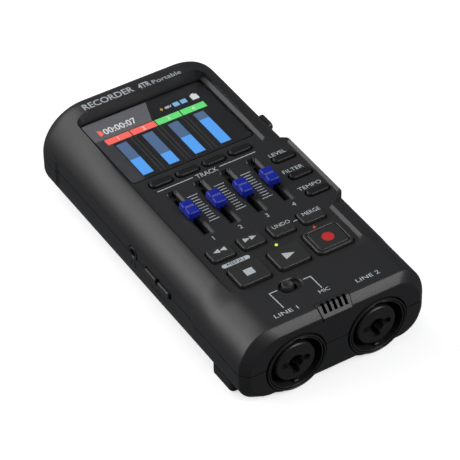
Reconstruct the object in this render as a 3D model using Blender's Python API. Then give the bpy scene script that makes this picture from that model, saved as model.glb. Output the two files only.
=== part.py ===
"""Pocket four-track field recorder, modelled as the pieces it comes apart into.

Frame: +X to the right, +Y towards the display end, +Z up. The origin is near the
middle of the footprint on the table. Lengths below are in millimetres and
are multiplied by MM where they reach Blender.
"""
import math

import bmesh
import bpy
from mathutils import Matrix, Vector

MM = 0.001
GAP = 0.3                     # clearance between neighbouring pieces

# --- case ---------------------------------------------------------------
HALF_W = 42.0                 # half the width of the case
FRONT_Y = -79.2               # face that carries the two input jacks
REAR_Y = 80.2                 # face behind the display
BOTTOM_Z = 2.0
PARTING_Z = 17.2              # where the upper and lower case meet
PANEL_Z = 34.4                # flat control panel
WALL = 2.2
CHAMFER = 3.3                 # slanted strip round the front face
REAR_PLAN_R = 6.0             # corner seen from above
REAR_TOP_R = 8.6              # edge between the top and the rear face
REAR_LOW_R = 2.6
LOW_R = 9.8                   # long bottom edges
FLANK_STEPS, LOW_STEPS = 7, 4
# stations along Y: crown height, width and height of the elliptic flank
STATIONS = (
    (-57.0, 34.38, 16.0, 16.5),
    (-47.0, 35.6, 12.5, 19.6),
    (26.0, 35.6, 12.5, 19.6),
    (62.0, 39.7, 19.5, 23.0),
)

# --- control panel, sunk into the crown ---------------------------------
PANEL_LEFT, PANEL_RIGHT = -29.7, 28.6
PANEL_REAR = 67.0
PANEL_FRONT = -54.5           # the panel runs out flush ahead of this line
POD_RIGHT = 36.6              # the panel widens to carry the mode keys
POD_WALL = 1.4
POD_REAR_Y, POD_FRONT_Y = 12.2, -24.2
POD_REAR_IN, POD_FRONT_IN = 18.2, -30.2
BEVEL = 1.3
LENS = (-29.1, 27.9, 23.4, 66.6)
LENS_T = 1.2
LEDGE_Z = PANEL_Z - LENS_T - GAP
WINDOW_INSET = 3.2

# --- tracks -------------------------------------------------------------
TRACKS = 4
TRACK_X0, TRACK_PITCH = -19.0, 12.33
TRACK_KEY_Y = 18.4
FADER_Y = -3.6
FADER_SLOT = (2.6, 26.0)
FADER_RECESS = (5.2, 30.0)
FADER_TRAVEL = 9.0
FADER_CAP = (5.6, 8.4)
FADER_CAP_Z = (35.1, 38.2)

# --- keys: name, x, y, width, depth, corner radius, top above the panel --
PILL = (10.2, 3.8, 1.85)
SQUARE = (10.2, 7.2, 1.3)
LARGE = (14.0, 11.4, 1.5)
RECORD_XY = (18.0, -45.6)
RECORD_KEY = (13.4, 10.9, 1.2)
RECORD_FRAME = (16.9, 14.5, 2.6)
KEYS = (
    [("track_key_%d" % (i + 1), TRACK_X0 + i * TRACK_PITCH, TRACK_KEY_Y, PILL, 1.1)
     for i in range(TRACKS)]
    + [("input_key", 30.2, 5.0, PILL, 1.1),
       ("effect_key", 30.4, -7.1, PILL, 1.1),
       ("rhythm_key", 30.6, -19.2, PILL, 1.1),
       ("rewind_key", -21.6, -30.8, SQUARE, 1.3),
       ("forward_key", -7.9, -31.0, SQUARE, 1.3),
       ("undo_key", 5.7, -31.2, SQUARE, 1.3),
       ("bounce_key", 19.7, -31.0, SQUARE, 1.3),
       ("stop_key", -18.3, -46.4, LARGE, 1.5),
       ("play_key", -0.4, -46.4, LARGE, 1.5),
       ("record_key", *RECORD_XY, RECORD_KEY, 1.3)]
)
FLANGE = 0.8                  # how far a key spreads under the panel

LEDS = (("play_led", -0.5, -37.5), ("record_led", 17.5, -36.9))
LED_R = 0.8
SELECTOR_XY = (-8.5, -59.8)
SELECTOR_SLOT = (9.6, 6.4)
SELECTOR_TRAVEL = 1.2

# --- jack end -----------------------------------------------------------
JACK_X = (-18.15, 18.85)
JACK_Z = 14.3
JACK_RING_R = 13.2
JACK_BORE_R = 11.5
INSERT_R = 8.8
JACK_DEPTH = 27.0
PLUG_R = 3.4
PIN_R = 1.4
PIN_OFFSET = 5.0
BULGE_R = 16.1
MIC_X = 0.3
MIC_TOP_W, MIC_LOW_W = 14.6, 12.6
MIC_TOP_Z, MIC_LOW_Z = 34.7, 29.6
MIC_PROFILE = ((-74.0, 34.7), (-76.0, 34.7), (-79.7, 31.0), (-79.7, 29.6), (-77.2, 29.6),
               (-74.0, 32.8))
MIC_NOTCH = ((-73.7, 50.0), (-90.0, 50.0), (-90.0, 29.3), (-77.0, 29.3), (-73.7, 32.6))
MIC_SLOTS, MIC_SLOT_W, MIC_SLOT_PITCH = 5, 1.35, 2.4
MIC_LIP_Y = -78.5

# --- left side ----------------------------------------------------------
PHONE_Y, PHONE_Z = 3.9, 18.4
VOLUME_KEYS = (("volume_up_key", -10.4), ("volume_down_key", -20.2))
SIDE_KEY = (8.6, 3.0)
SIDE_RECESS = (-44.0, 67.0, 0.9)

# --- right side and rear ------------------------------------------------
POWER_Y, POWER_Z = 36.0, 26.2
CARD_Y, CARD_Z = -8.0, 12.0
USB_X, USB_Z = 14.0, 14.0

# --- inside -------------------------------------------------------------
CONTROL_BOARD_Z = (24.4, 26.0)
MAIN_BOARD_Z = (19.6, 21.2)
BATTERY_R, BATTERY_L = 7.2, 50.4
BATTERY_PITCH = 15.0
BATTERY_Y = 40.0
BATTERY_Z = 11.2
DOOR = (-30.3, 30.3, 8.0, 71.0)
DOOR_Z = (2.0, 3.5)
SCREWS = ((-35.6, -38.0), (35.6, -38.0), (-35.0, 64.5), (35.0, 64.5))

COLOURS = {
    "shell": ((0.035, 0.035, 0.038), 0.5, 0.0),
    "panel_key": ((0.016, 0.016, 0.018), 0.45, 0.0),
    "fader_blue": ((0.02, 0.04, 0.55), 0.4, 0.0),
    "lens": ((0.03, 0.03, 0.035), 0.12, 0.0),
    "display": ((0.05, 0.06, 0.08), 0.3, 0.0),
    "black": ((0.01, 0.01, 0.01), 0.6, 0.0),
    "metal": ((0.6, 0.6, 0.6), 0.3, 1.0),
    "board": ((0.02, 0.16, 0.06), 0.5, 0.0),
    "battery": ((0.12, 0.12, 0.14), 0.35, 0.3),
    "green": ((0.3, 0.8, 0.1), 0.3, 0.0),
    "red": ((0.8, 0.08, 0.05), 0.3, 0.0),
}


# --- basic builders -----------------------------------------------------
def clear_scene():
    for obj in list(bpy.data.objects):
        bpy.data.objects.remove(obj)


def paint(obj, colour):
    rgb, rough, metal = COLOURS[colour]
    mat = bpy.data.materials.get(colour)
    if mat is None:
        mat = bpy.data.materials.new(colour)
        mat.use_nodes = True
        shader = mat.node_tree.nodes["Principled BSDF"]
        shader.inputs["Base Color"].default_value = (*rgb, 1.0)
        shader.inputs["Roughness"].default_value = rough
        shader.inputs["Metallic"].default_value = metal
    obj.data.materials.clear()
    obj.data.materials.append(mat)
    return obj


def loft(name, rings):
    """Close a stack of equal rings of (x, y, z) points into one body."""
    bm = bmesh.new()
    layers = [[bm.verts.new([c * MM for c in p]) for p in ring] for ring in rings]
    for low, high in zip(layers, layers[1:]):
        n = len(low)
        for i in range(n):
            j = (i + 1) % n
            bm.faces.new((low[i], low[j], high[j], high[i]))
    bm.faces.new(list(reversed(layers[0])))
    bm.faces.new(layers[-1])
    bmesh.ops.recalc_face_normals(bm, faces=bm.faces)
    mesh = bpy.data.meshes.new(name)
    bm.to_mesh(mesh)
    bm.free()
    obj = bpy.data.objects.new(name, mesh)
    bpy.context.scene.collection.objects.link(obj)
    return obj


def prism(name, outline, low, high):
    """Stand an outline of (x, y) points up between two heights."""
    return loft(name, [[(x, y, z) for x, y in outline] for z in (low, high)])


def rounded(w, d, r, cx=0.0, cy=0.0, steps=3):
    """Outline of a rounded rectangle."""
    corners = [(cx + sx * (w / 2), cy + sy * (d / 2)) for sx, sy in
               ((-1, -1), (1, -1), (1, 1), (-1, 1))]
    return filleted([(x, y, r) for x, y in corners], steps)


def filleted(corners, steps=4):
    """Round each corner (x, y, r) of a polygon with an arc of equal chords."""
    points = []
    count = len(corners)
    for i, (x, y, r) in enumerate(corners):
        here = Vector((x, y))
        before = (Vector(corners[i - 1][:2]) - here).normalized()
        after = (Vector(corners[(i + 1) % count][:2]) - here).normalized()
        half = before.angle(after) / 2
        reach = r / math.tan(half)
        centre = here + (before + after).normalized() * (r / math.sin(half))
        start = here + before * reach - centre
        turn = start.angle_signed(here + after * reach - centre)
        for k in range(steps + 1):
            arm = start.copy()
            arm.rotate(Matrix.Rotation(-turn * k / steps, 2))
            points.append(tuple(centre + arm))
    return points


def cylinder(name, axis, centre, radius, low, high, sides=24):
    """Round bar along an axis, between two coordinates on that axis."""
    rings = []
    for level in (low, high):
        ring = []
        for k in range(sides):
            a = 2 * math.pi * k / sides
            u, v = radius * math.cos(a) + centre[0], radius * math.sin(a) + centre[1]
            ring.append({"X": (level, u, v), "Y": (u, level, v), "Z": (u, v, level)}[axis])
        rings.append(ring)
    return loft(name, rings)


def block(name, x0, x1, y0, y1, z0, z1):
    return prism(name, [(x0, y0), (x1, y0), (x1, y1), (x0, y1)], z0, z1)


def combine(obj, others, operation):
    """Cut, join or keep the overlap with each other solid, then drop it."""
    for other in others:
        change = obj.modifiers.new("shape", "BOOLEAN")
        change.operation = operation
        change.solver = "EXACT"
        change.object = other
        bpy.context.view_layer.update()
        solved = obj.evaluated_get(bpy.context.evaluated_depsgraph_get())
        old = obj.data
        obj.modifiers.clear()
        obj.data = bpy.data.meshes.new_from_object(solved)
        bpy.data.meshes.remove(old)
        bpy.data.objects.remove(other)
    return obj


def cut(obj, *others):
    return combine(obj, others, "DIFFERENCE")


def join(obj, *others):
    return combine(obj, others, "UNION")


def keep(obj, other):
    return combine(obj, (other,), "INTERSECT")


def copy_of(obj, name):
    twin = bpy.data.objects.new(name, obj.data.copy())
    bpy.context.scene.collection.objects.link(twin)
    return twin


def name_it(obj, name, colour):
    obj.name = name
    obj.data.name = name
    paint(obj, colour)
    for face in obj.data.polygons:
        face.use_smooth = True
    obj.data.set_sharp_from_angle(angle=math.radians(35))
    return obj


# --- the case's outer form ----------------------------------------------
def crown(y):
    """Crown height and flank ellipse at a station, eased between stations."""
    if y <= STATIONS[0][0]:
        return STATIONS[0][1:]
    for (y0, *a), (y1, *b) in zip(STATIONS, STATIONS[1:]):
        if y <= y1:
            t = (y - y0) / (y1 - y0)
            t = t * t * (3 - 2 * t)
            return tuple(p + (q - p) * t for p, q in zip(a, b))
    return STATIONS[-1][1:]


def rounding(y, end, r):
    """How far an edge of radius r has drawn in at y, near the rear end."""
    past = max(0.0, y - (end - r))
    return r - math.sqrt(max(0.0, r * r - past * past))


def case_ring(y, inset=0.0, ceiling=None, end=REAR_Y, front_inset=0.0):
    """Section of the case across Y, shrunk evenly by inset."""
    top, flank_w, flank_h = crown(y)
    half = HALF_W - inset - front_inset - rounding(y, end, REAR_PLAN_R)
    top = top - inset - front_inset - rounding(y, end, REAR_TOP_R)
    if ceiling is not None:
        top = min(top, ceiling)
    low = BOTTOM_Z + inset + 0.45 * front_inset + rounding(y, end, REAR_LOW_R)
    flank_w = max(1.0, flank_w - inset)
    flank_h = min(flank_h - inset, top - PARTING_Z - 0.8)
    low_r = min(LOW_R - inset, PARTING_Z - 0.8 - low)
    right = []
    for k in range(FLANK_STEPS + 1):
        a = math.pi / 2 * k / FLANK_STEPS
        right.append((half - flank_w + flank_w * math.sin(a), y,
                      top - flank_h + flank_h * math.cos(a)))
    for k in range(LOW_STEPS + 1):
        a = math.pi / 2 * k / LOW_STEPS
        right.append((half - low_r + low_r * math.cos(a), y,
                      low + low_r - low_r * math.sin(a)))
    left = [(-x, yy, z) for x, yy, z in reversed(right)]
    return right + left


def case_solid(name, inset=0.0, ceiling=None):
    end = REAR_Y - inset
    front = FRONT_Y + inset
    rings = [case_ring(front, inset, ceiling, end, CHAMFER)]
    reach = max(REAR_PLAN_R, REAR_TOP_R)
    stops = [front + CHAMFER, -57, -54.5, -52, -49.5, -47, 26, 33, 40, 48, 55, 62]
    stops += [end - reach * (1 - math.sin(math.radians(a))) for a in (0, 14, 28, 42, 56, 70, 84)]
    rings += [case_ring(y, inset, ceiling, end) for y in stops]
    return loft(name, rings)


def panel_outline(side, rear):
    """Outline of the sunken panel, grown by side and rear amounts."""
    return filleted([
        (-25.2, -90.0, 0.5),
        (24.2, -90.0, 0.5),
        (24.2 + side * 0.3, PANEL_FRONT - side, 1.0),
        (PANEL_RIGHT + side, PANEL_FRONT + 3.0 - side, 2.0),
        (PANEL_RIGHT + side, POD_FRONT_IN - side * 0.4, 1.0),
        (POD_RIGHT + side, POD_FRONT_Y - side * 0.4, 1.0),
        (POD_RIGHT + side, POD_REAR_Y + side * 0.4, 1.0),
        (PANEL_RIGHT + side, POD_REAR_IN + side * 0.4, 1.0),
        (PANEL_RIGHT + side, PANEL_REAR + rear, 4.0),
        (PANEL_LEFT - side, PANEL_REAR + rear, 4.0),
        (PANEL_LEFT - side, PANEL_FRONT + 3.0 - side, 2.0),
        (-25.2 - side * 0.3, PANEL_FRONT - side, 1.0),
    ], 3)


def panel_cutter():
    levels = ((PANEL_Z, 0.0, 0.0), (PANEL_Z + BEVEL, BEVEL, 0.2), (50.0, BEVEL + 0.8, 0.9))
    return loft("panel_cutter", [[(x, y, z) for x, y in panel_outline(side, rear)]
                                 for z, side, rear in levels])


def pod():
    """Raised shoulder at the right of the panel, under the mode keys."""
    reach = POD_RIGHT + POD_WALL
    outline = filleted([
        (26.0, POD_FRONT_IN - 3.4, 0.5),
        (reach, POD_FRONT_Y - 1.4, 2.0),
        (reach, POD_REAR_Y + 1.4, 2.0),
        (26.0, POD_REAR_IN + 3.4, 0.5),
    ], 3)
    return prism("pod", outline, 24.0, 35.6)


def pod_hollow():
    return prism("pod_hollow", rounded(14.0, POD_REAR_Y - POD_FRONT_Y + 0.8, 1.0,
                                       POD_RIGHT + 0.1 - 7.0, (POD_REAR_Y + POD_FRONT_Y) / 2, 2),
                 26.5, PANEL_Z - WALL)


# --- openings in the case -----------------------------------------------
def key_holes():
    holes = []
    for name, x, y, (w, d, r), _ in KEYS:
        if name == "record_key":
            w, d, r = RECORD_FRAME
            seat = rounded(w + 0.2, d + 0.2, r, x, y)
            holes.append(prism("hole", seat, PANEL_Z - 0.9, 50))
            w, d, r = w - 2.4, d - 2.4, r - 1.2
        holes.append(prism("hole", rounded(w + 2 * GAP, d + 2 * GAP, r + GAP, x, y), 20, 50))
    return holes


def fader_holes():
    holes = []
    for i in range(TRACKS):
        x = TRACK_X0 + i * TRACK_PITCH
        w, d = FADER_RECESS
        steps = ((PANEL_Z - 1.1, w - 1.4, d - 1.4), (PANEL_Z + 0.3, w, d))
        holes.append(loft("recess", [[(px, py, z) for px, py in
                                      rounded(a, b, 0.8, x, FADER_Y, 2)] for z, a, b in steps]))
        w, d = FADER_SLOT
        holes.append(prism("slot", rounded(w, d, 0.4, x, FADER_Y, 2), 20, 50))
    return holes


def small_holes():
    holes = [cylinder("led", "Z", (x, y), LED_R + 0.25, 20, 50, 12) for _, x, y in LEDS]
    w, d = SELECTOR_SLOT
    x, y = SELECTOR_XY
    holes.append(prism("selector", rounded(w, d, d / 2 - 0.01, x, y, 5), PANEL_Z - 1.4, 50))
    holes.append(prism("selector", rounded(6.0, 3.2, 1.5, x, y, 4), 20, 50))
    return holes


def lens_holes():
    x0, x1, y0, y1 = LENS
    cx, cy, w, d = (x0 + x1) / 2, (y0 + y1) / 2, x1 - x0, y1 - y0
    inset = 2 * WINDOW_INSET
    return [prism("lens", rounded(w + 2 * GAP, d + 2 * GAP, 2.2, cx, cy), LEDGE_Z, 50),
            prism("window", rounded(w - inset, d - inset, 1.0, cx, cy), 20, 50)]


def mic_wedge(name, profile, grow):
    """Tapered bar across the slanted strip, from a profile of (y, z) points."""
    rings = []
    for side in (-1, 1):
        ring = []
        for y, z in profile:
            t = (MIC_TOP_Z - z) / (MIC_TOP_Z - MIC_LOW_Z)
            half = (MIC_TOP_W + (MIC_LOW_W - MIC_TOP_W) * t) / 2 + grow
            ring.append((MIC_X + side * half, y, z))
        rings.append(ring)
    return loft(name, rings)


def jack_holes():
    return [cylinder("jack", "Y", (x, JACK_Z), JACK_RING_R + GAP, -90, FRONT_Y + 2.6, 40)
            for x in JACK_X] + [
            cylinder("jack", "Y", (x, JACK_Z), 12.6 + GAP, -90, FRONT_Y + JACK_DEPTH + 1.0, 32)
            for x in JACK_X]


def side_holes():
    y0, y1, depth = SIDE_RECESS
    recess = prism("recess", rounded(10.0, y1 - y0, 4.0, -HALF_W - 5.0 + depth, (y0 + y1) / 2),
                   9.0, 27.0)
    holes = [recess, cylinder("phone", "X", (PHONE_Y, PHONE_Z), 3.0 + GAP, -60, -36, 24)]
    for _, y in VOLUME_KEYS:
        w, h = SIDE_KEY
        holes.append(side_prism("key", y, PARTING_Z, w + 2 * GAP, h + 2 * GAP, -60, -36))
    holes.append(side_prism("power", POWER_Y, POWER_Z, 9.0, 2.4, 34, 60))
    holes.append(side_prism("card", CARD_Y, CARD_Z, 13.6, 3.2, 36, 60))
    holes.append(rear_prism("usb", USB_X, USB_Z, 10.2, 4.6, 70, 90))
    return holes


def side_prism(name, y, z, w, h, x0, x1):
    """Rounded bar along X, w along Y and h along Z."""
    r = min(w, h) / 2 - 0.05
    return loft(name, [[(x, py, pz) for py, pz in rounded(w, h, r, y, z)] for x in (x0, x1)])


def rear_prism(name, x, z, w, h, y0, y1):
    r = min(w, h) / 2 - 0.05
    return loft(name, [[(px, y, pz) for px, pz in rounded(w, h, r, x, z)] for y in (y0, y1)])


def screw_bosses(upper):
    bosses = []
    for x, y in SCREWS:
        if upper:
            bosses.append(cylinder("boss", "Z", (x, y), 2.9, PARTING_Z + 0.15, 30.0, 16))
        else:
            bosses.append(cylinder("boss", "Z", (x, y), 3.4, BOTTOM_Z + 0.6, PARTING_Z - 0.15, 16))
    return bosses


def screw_holes():
    holes = []
    for x, y in SCREWS:
        holes.append(cylinder("shaft", "Z", (x, y), 1.4, -5, 26.0, 12))
        holes.append(cylinder("head", "Z", (x, y), 2.6, -5, 6.0, 16))
    return holes


def battery_cavity():
    x0, x1, y0, y1 = DOOR
    return [block("bay", x0, x1, y0 + 3.0, y1 - 3.5, DOOR_Z[1], 30.0),
            block("mouth", x0 - GAP, x1 + GAP, y0 - GAP, y1 + GAP, -5.0, DOOR_Z[1] + GAP)]


def jack_bulges():
    """Half-round swellings under the jacks, flat where they meet the table."""
    bulges = []
    for x in JACK_X:
        bulge = cylinder("bulge", "Y", (x, JACK_Z), BULGE_R, FRONT_Y + 1.6, FRONT_Y + 31.0, 40)
        bulges.append(cut(bulge, block("floor", -60, 60, -90, 0, -10, 0.35),
                          block("roof", -60, 60, -90, 0, 12.0, 40)))
    return bulges


def build_case():
    shell = case_solid("shell")
    join(shell, pod(), *jack_bulges())
    cut(shell, panel_cutter())
    outer = copy_of(shell, "outer")
    cut(shell, case_solid("hollow", WALL, PANEL_Z - WALL))
    lower = copy_of(shell, "lower")
    keep(shell, block("upper_half", -60, 60, -100, 100, PARTING_Z + 0.15, 60))
    keep(lower, block("lower_half", -60, 60, -100, 100, -20, PARTING_Z - 0.15))
    join(shell, *(keep(b, copy_of(outer, "fit")) for b in screw_bosses(True)))
    bay = block("bay_wall", DOOR[0] - 2.2, DOOR[1] + 2.2, DOOR[2] + 0.8, DOOR[3] - 1.3,
                BOTTOM_Z + 0.8, PARTING_Z - 0.15)
    floor = block("bay_floor", DOOR[0] - 2.2, DOOR[1] + 2.2, DOOR[2] - 1.6, DOOR[3] + 1.6,
                  BOTTOM_Z + 0.01, 5.4)
    join(lower, *(keep(b, copy_of(outer, "fit")) for b in [bay, floor] + screw_bosses(False)))
    cut(lower, *battery_cavity())
    bpy.data.objects.remove(outer)

    cut(shell, *lens_holes(), *key_holes(), *fader_holes(), *small_holes())
    cut(shell, mic_wedge("mic_hole", MIC_NOTCH, GAP), pod_hollow())
    for half in (shell, lower):
        cut(half, *jack_holes(), *side_holes(), *screw_holes())
    name_it(shell, "upper_case", "shell")
    name_it(lower, "lower_case", "shell")


# --- display ------------------------------------------------------------
def build_display():
    x0, x1, y0, y1 = LENS
    cx, cy, w, d = (x0 + x1) / 2, (y0 + y1) / 2, x1 - x0, y1 - y0
    lens = prism("lcd_lens", rounded(w, d, 2.0, cx, cy), PANEL_Z - LENS_T, PANEL_Z)
    name_it(lens, "lcd_lens", "lens")
    inset = 2 * WINDOW_INSET + 1.0
    module = prism("lcd_module", rounded(w - inset, d - inset, 0.8, cx, cy, 2), 27.6, LEDGE_Z - 0.1)
    name_it(module, "lcd_module", "display")


# --- keys ---------------------------------------------------------------
def build_key(name, x, y, size, rise):
    w, d, r = size
    crown_z = PANEL_Z + rise
    rings = []
    inner = PANEL_Z - WALL - GAP
    for z, grow in ((inner - 0.8, FLANGE), (inner, FLANGE), (inner, 0.0),
                    (crown_z - 0.4, 0.0), (crown_z, -0.35)):
        rings.append([(px, py, z) for px, py in
                      rounded(w + 2 * grow, d + 2 * grow, max(0.6, r + grow - 0.02), x, y)])
    key = loft(name, rings)
    stem = cylinder("stem", "Z", (x, y), 1.2, CONTROL_BOARD_Z[1] + 1.9, inner - 0.4, 10)
    name_it(join(key, stem), name, "panel_key")


def build_record_frame():
    w, d, r = RECORD_FRAME
    x, y = RECORD_XY
    low, high = PANEL_Z - 0.6, PANEL_Z + 1.3
    frame = loft("record_key_frame", [
        [(px, py, z) for px, py in rounded(w - 2 * i - 0.3, d - 2 * i - 0.3, r - i, x, y)]
        for z, i in ((low, 0.0), (high - 0.5, 0.0), (high, 0.5))])
    w, d, r = RECORD_KEY
    hole = prism("hole", rounded(w + 2 * GAP, d + 2 * GAP, r + GAP, x, y), 20, 50)
    name_it(cut(frame, hole), "record_key_frame", "panel_key")


# --- faders -------------------------------------------------------------
def build_fader(i):
    x = TRACK_X0 + i * TRACK_PITCH
    w, d = FADER_CAP
    low, high = FADER_CAP_Z
    rings = []
    for z, grow in ((low, -0.2), (low + 0.5, 0.1), (high - 0.7, 0.0), (high, -0.6)):
        rings.append([(px, py, z) for px, py in
                      rounded(w + 2 * grow, d + 2 * grow, 0.8, x, FADER_Y, 3)])
    cap = loft("cap", rings)
    cut(cap, block("groove", x - 5, x + 5, FADER_Y - 0.45, FADER_Y + 0.45, high - 0.45, 60))
    stem = block("stem", x - 0.7, x + 0.7, FADER_Y - 2.0, FADER_Y + 2.0, 29.4, low + 1.0)
    name_it(join(cap, stem), "fader_cap_%d" % (i + 1), "fader_blue")
    base = CONTROL_BOARD_Z[1] + GAP
    unit = block("unit", x - 3.4, x + 3.4, FADER_Y - 17.0, FADER_Y + 17.0, base, 31.9)
    slit = FADER_TRAVEL + 3.0
    cut(unit, block("slit", x - 1.1, x + 1.1, FADER_Y - slit, FADER_Y + slit, 28.6, 60))
    name_it(unit, "fader_unit_%d" % (i + 1), "metal")


# --- small controls -----------------------------------------------------
def build_leds():
    for (name, x, y), colour in zip(LEDS, ("green", "red")):
        led = cylinder(name, "Z", (x, y), LED_R, CONTROL_BOARD_Z[1] + GAP, PANEL_Z + 0.1, 12)
        name_it(led, name, colour)


def build_selector():
    x = SELECTOR_XY[0] - SELECTOR_TRAVEL
    y = SELECTOR_XY[1]
    rings = []
    sides = 20
    for z, r in ((PANEL_Z - 1.1, 2.5), (PANEL_Z + 0.5, 2.35), (PANEL_Z + 1.0, 1.9),
                 (PANEL_Z + 1.2, 1.2)):
        rings.append([(x + r * math.cos(2 * math.pi * k / sides),
                       y + r * math.sin(2 * math.pi * k / sides), z) for k in range(sides)])
    knob = loft("knob", rings)
    stem = block("stem", x - 1.0, x + 1.0, y - 1.1, y + 1.1, 30.4, PANEL_Z - 0.8)
    name_it(join(knob, stem), "input_select_knob", "panel_key")
    body = block("body", SELECTOR_XY[0] - 4.4, SELECTOR_XY[0] + 4.4, y - 3.0, y + 3.0, 27.4, 30.1)
    name_it(body, "input_select_switch", "metal")


def build_mic():
    grille = mic_wedge("grille", MIC_PROFILE, 0.0)
    half = MIC_SLOT_W / 2
    slots = []
    for k in range(MIC_SLOTS):
        x = MIC_X + (k - (MIC_SLOTS - 1) / 2) * MIC_SLOT_PITCH
        slots.append(block("slot", x - half, x + half, MIC_LIP_Y, -74.9, 30.6, 50))
    cut(grille, *slots)
    name_it(grille, "mic_grille", "shell")
    name_it(cylinder("mic_capsule", "Z", (MIC_X, -70.0), 3.0, 28.6, 31.9, 20),
            "mic_capsule", "metal")


# --- input jacks --------------------------------------------------------
def build_jack(tag, x):
    front = FRONT_Y - 0.5
    back = FRONT_Y + JACK_DEPTH
    body = cylinder("body", "Y", (x, JACK_Z), 12.6, front + 1.0, back, 32)
    join(body, cylinder("ring", "Y", (x, JACK_Z), JACK_RING_R, front, FRONT_Y + 2.3, 40))
    keyway = block("keyway", x - 1.6, x + 1.6, front - 1, front + 9.0, JACK_Z + 8.0, JACK_Z + 12.6)
    cut(body, cylinder("bore", "Y", (x, JACK_Z), JACK_BORE_R, -90, front + 16.0, 32), keyway,
        cylinder("seat", "Y", (x, JACK_Z), INSERT_R + GAP, -90, back - 3.0, 28))
    cut(body, block("flat", -60, 60, -100, 0, -10, 0.35 + WALL * 0.5 + GAP))
    name_it(body, "input_jack_%s" % tag, "black")
    insert = cylinder("insert", "Y", (x, JACK_Z), INSERT_R, front + 0.9, back - 3.0 - GAP, 28)
    holes = [cylinder("plug", "Y", (x, JACK_Z), PLUG_R, -90, front + 21.0, 20)]
    for a in (180, 0, 270):
        dx, dz = PIN_OFFSET * math.cos(math.radians(a)), PIN_OFFSET * math.sin(math.radians(a))
        holes.append(cylinder("pin", "Y", (x + dx, JACK_Z + dz), PIN_R, -90, front + 15.0, 12))
    name_it(cut(insert, *holes), "jack_insert_%s" % tag, "black")


# --- side controls ------------------------------------------------------
def build_side_controls():
    ring = cylinder("ring", "X", (PHONE_Y, PHONE_Z), 3.0, -HALF_W + 0.6, -38.6, 24)
    barrel = cylinder("barrel", "X", (PHONE_Y, PHONE_Z), 2.9, -38.8, -27.0, 24)
    cut(join(ring, barrel), cylinder("bore", "X", (PHONE_Y, PHONE_Z), 1.85, -60, -28.5, 20))
    name_it(ring, "headphone_jack", "black")
    w, h = SIDE_KEY
    for name, y in VOLUME_KEYS:
        key = side_prism("key", y, PARTING_Z, w, h, -HALF_W - 0.1, -37.0)
        flange = side_prism("flange", y, PARTING_Z, w + 0.7, h + 1.6, -39.3, -38.5)
        name_it(join(key, flange), name, "panel_key")
    knob = side_prism("knob", POWER_Y, POWER_Z, 8.6, 3.6, 40.2, 42.3)
    teeth = [block("tooth", 41.9, 60, POWER_Y + k * 1.5 - 0.3, POWER_Y + k * 1.5 + 0.3, 20, 32)
             for k in (-2, -1, 0, 1, 2)]
    cut(knob, *teeth)
    slope = cut(knob, case_solid("fit", -0.5))
    stem = side_prism("stem", POWER_Y, POWER_Z, 4.6, 1.7, 35.0, 41.0)
    name_it(join(slope, stem), "power_switch", "panel_key")
    cover = side_prism("cover", CARD_Y, CARD_Z, 13.0, 2.6, 40.9, HALF_W - 0.05)
    name_it(cover, "card_slot_cover", "panel_key")
    socket = block("socket", 25.0, 39.0, CARD_Y - 7.0, CARD_Y + 7.0, CARD_Z - 1.3, CARD_Z + 1.3)
    cut(socket, block("mouth", 26.5, 60, CARD_Y - 5.6, CARD_Y + 5.6, CARD_Z - 0.5, CARD_Z + 0.5))
    name_it(socket, "card_socket", "metal")
    shell = rear_prism("usb", USB_X, USB_Z, 9.6, 4.0, 71.8, REAR_Y - 0.6)
    cut(shell, rear_prism("mouth", USB_X, USB_Z, 8.4, 2.8, 73.0, 90))
    name_it(shell, "usb_port", "metal")


# --- power and boards ---------------------------------------------------
def build_batteries():
    for i in range(4):
        x = (i - 1.5) * BATTERY_PITCH
        flip = 1 if i % 2 == 0 else -1
        y0, y1 = BATTERY_Y - BATTERY_L / 2, BATTERY_Y + BATTERY_L / 2
        cell = cylinder("cell", "Y", (x, BATTERY_Z), BATTERY_R, y0 + 0.5, y1 - 0.5, 20)
        tip = (y1 - 1.0, y1 + 0.6) if flip > 0 else (y0 - 0.6, y0 + 1.0)
        join(cell, cylinder("tip", "Y", (x, BATTERY_Z), 2.6, *tip, 12))
        name_it(cell, "battery_%d" % (i + 1), "battery")


def build_door():
    x0, x1, y0, y1 = DOOR
    door = block("door", x0, x1, y0, y1, *DOOR_Z)
    grooves = [block("groove", -12, 12, y1 - 6.0 - k * 1.6, y1 - 5.2 - k * 1.6, 1.0, 2.35)
               for k in range(4)]
    cut(door, *grooves)
    name_it(door, "battery_door", "shell")


def build_boards():
    z0, z1 = CONTROL_BOARD_Z
    outline = [(-32, -51.6), (32, -51.6), (32, -28), (35, -26), (35, 22), (-32, 22)]
    board = prism("board", outline, z0, z1)
    switches = [block("switch", x - 1.6, x + 1.6, y - 1.6, y + 1.6, z1 - 0.3, z1 + 0.95)
                for _, x, y, _, _ in KEYS]
    name_it(join(board, *switches), "control_board", "board")
    z0, z1 = MAIN_BOARD_Z
    main = block("main", -31, 31, -50, 70, z0, z1)
    chips = [block("chip", x - 4, x + 4, y - 4, y + 4, z1 - 0.3, z1 + 1.2)
             for x, y in ((-12, -6), (10, 8), (14, -22), (-14, 34))]
    join(main, *chips)
    cut(main, block("notch", -40, -26.5, PHONE_Y - 3.6, PHONE_Y + 3.6, 10, 30))
    name_it(main, "main_board", "board")


def build_screws():
    for i, (x, y) in enumerate(SCREWS):
        head = cylinder("head", "Z", (x, y), 2.2, 4.2, 5.7, 16)
        join(head, cylinder("shaft", "Z", (x, y), 1.05, 5.4, 25.0, 10))
        slot = block("slot", x - 1.4, x + 1.4, y - 0.3, y + 0.3, 3.0, 4.9)
        cross = block("slot", x - 0.3, x + 0.3, y - 1.4, y + 1.4, 3.0, 4.9)
        name_it(cut(head, slot, cross), "case_screw_%d" % (i + 1), "metal")


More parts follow.
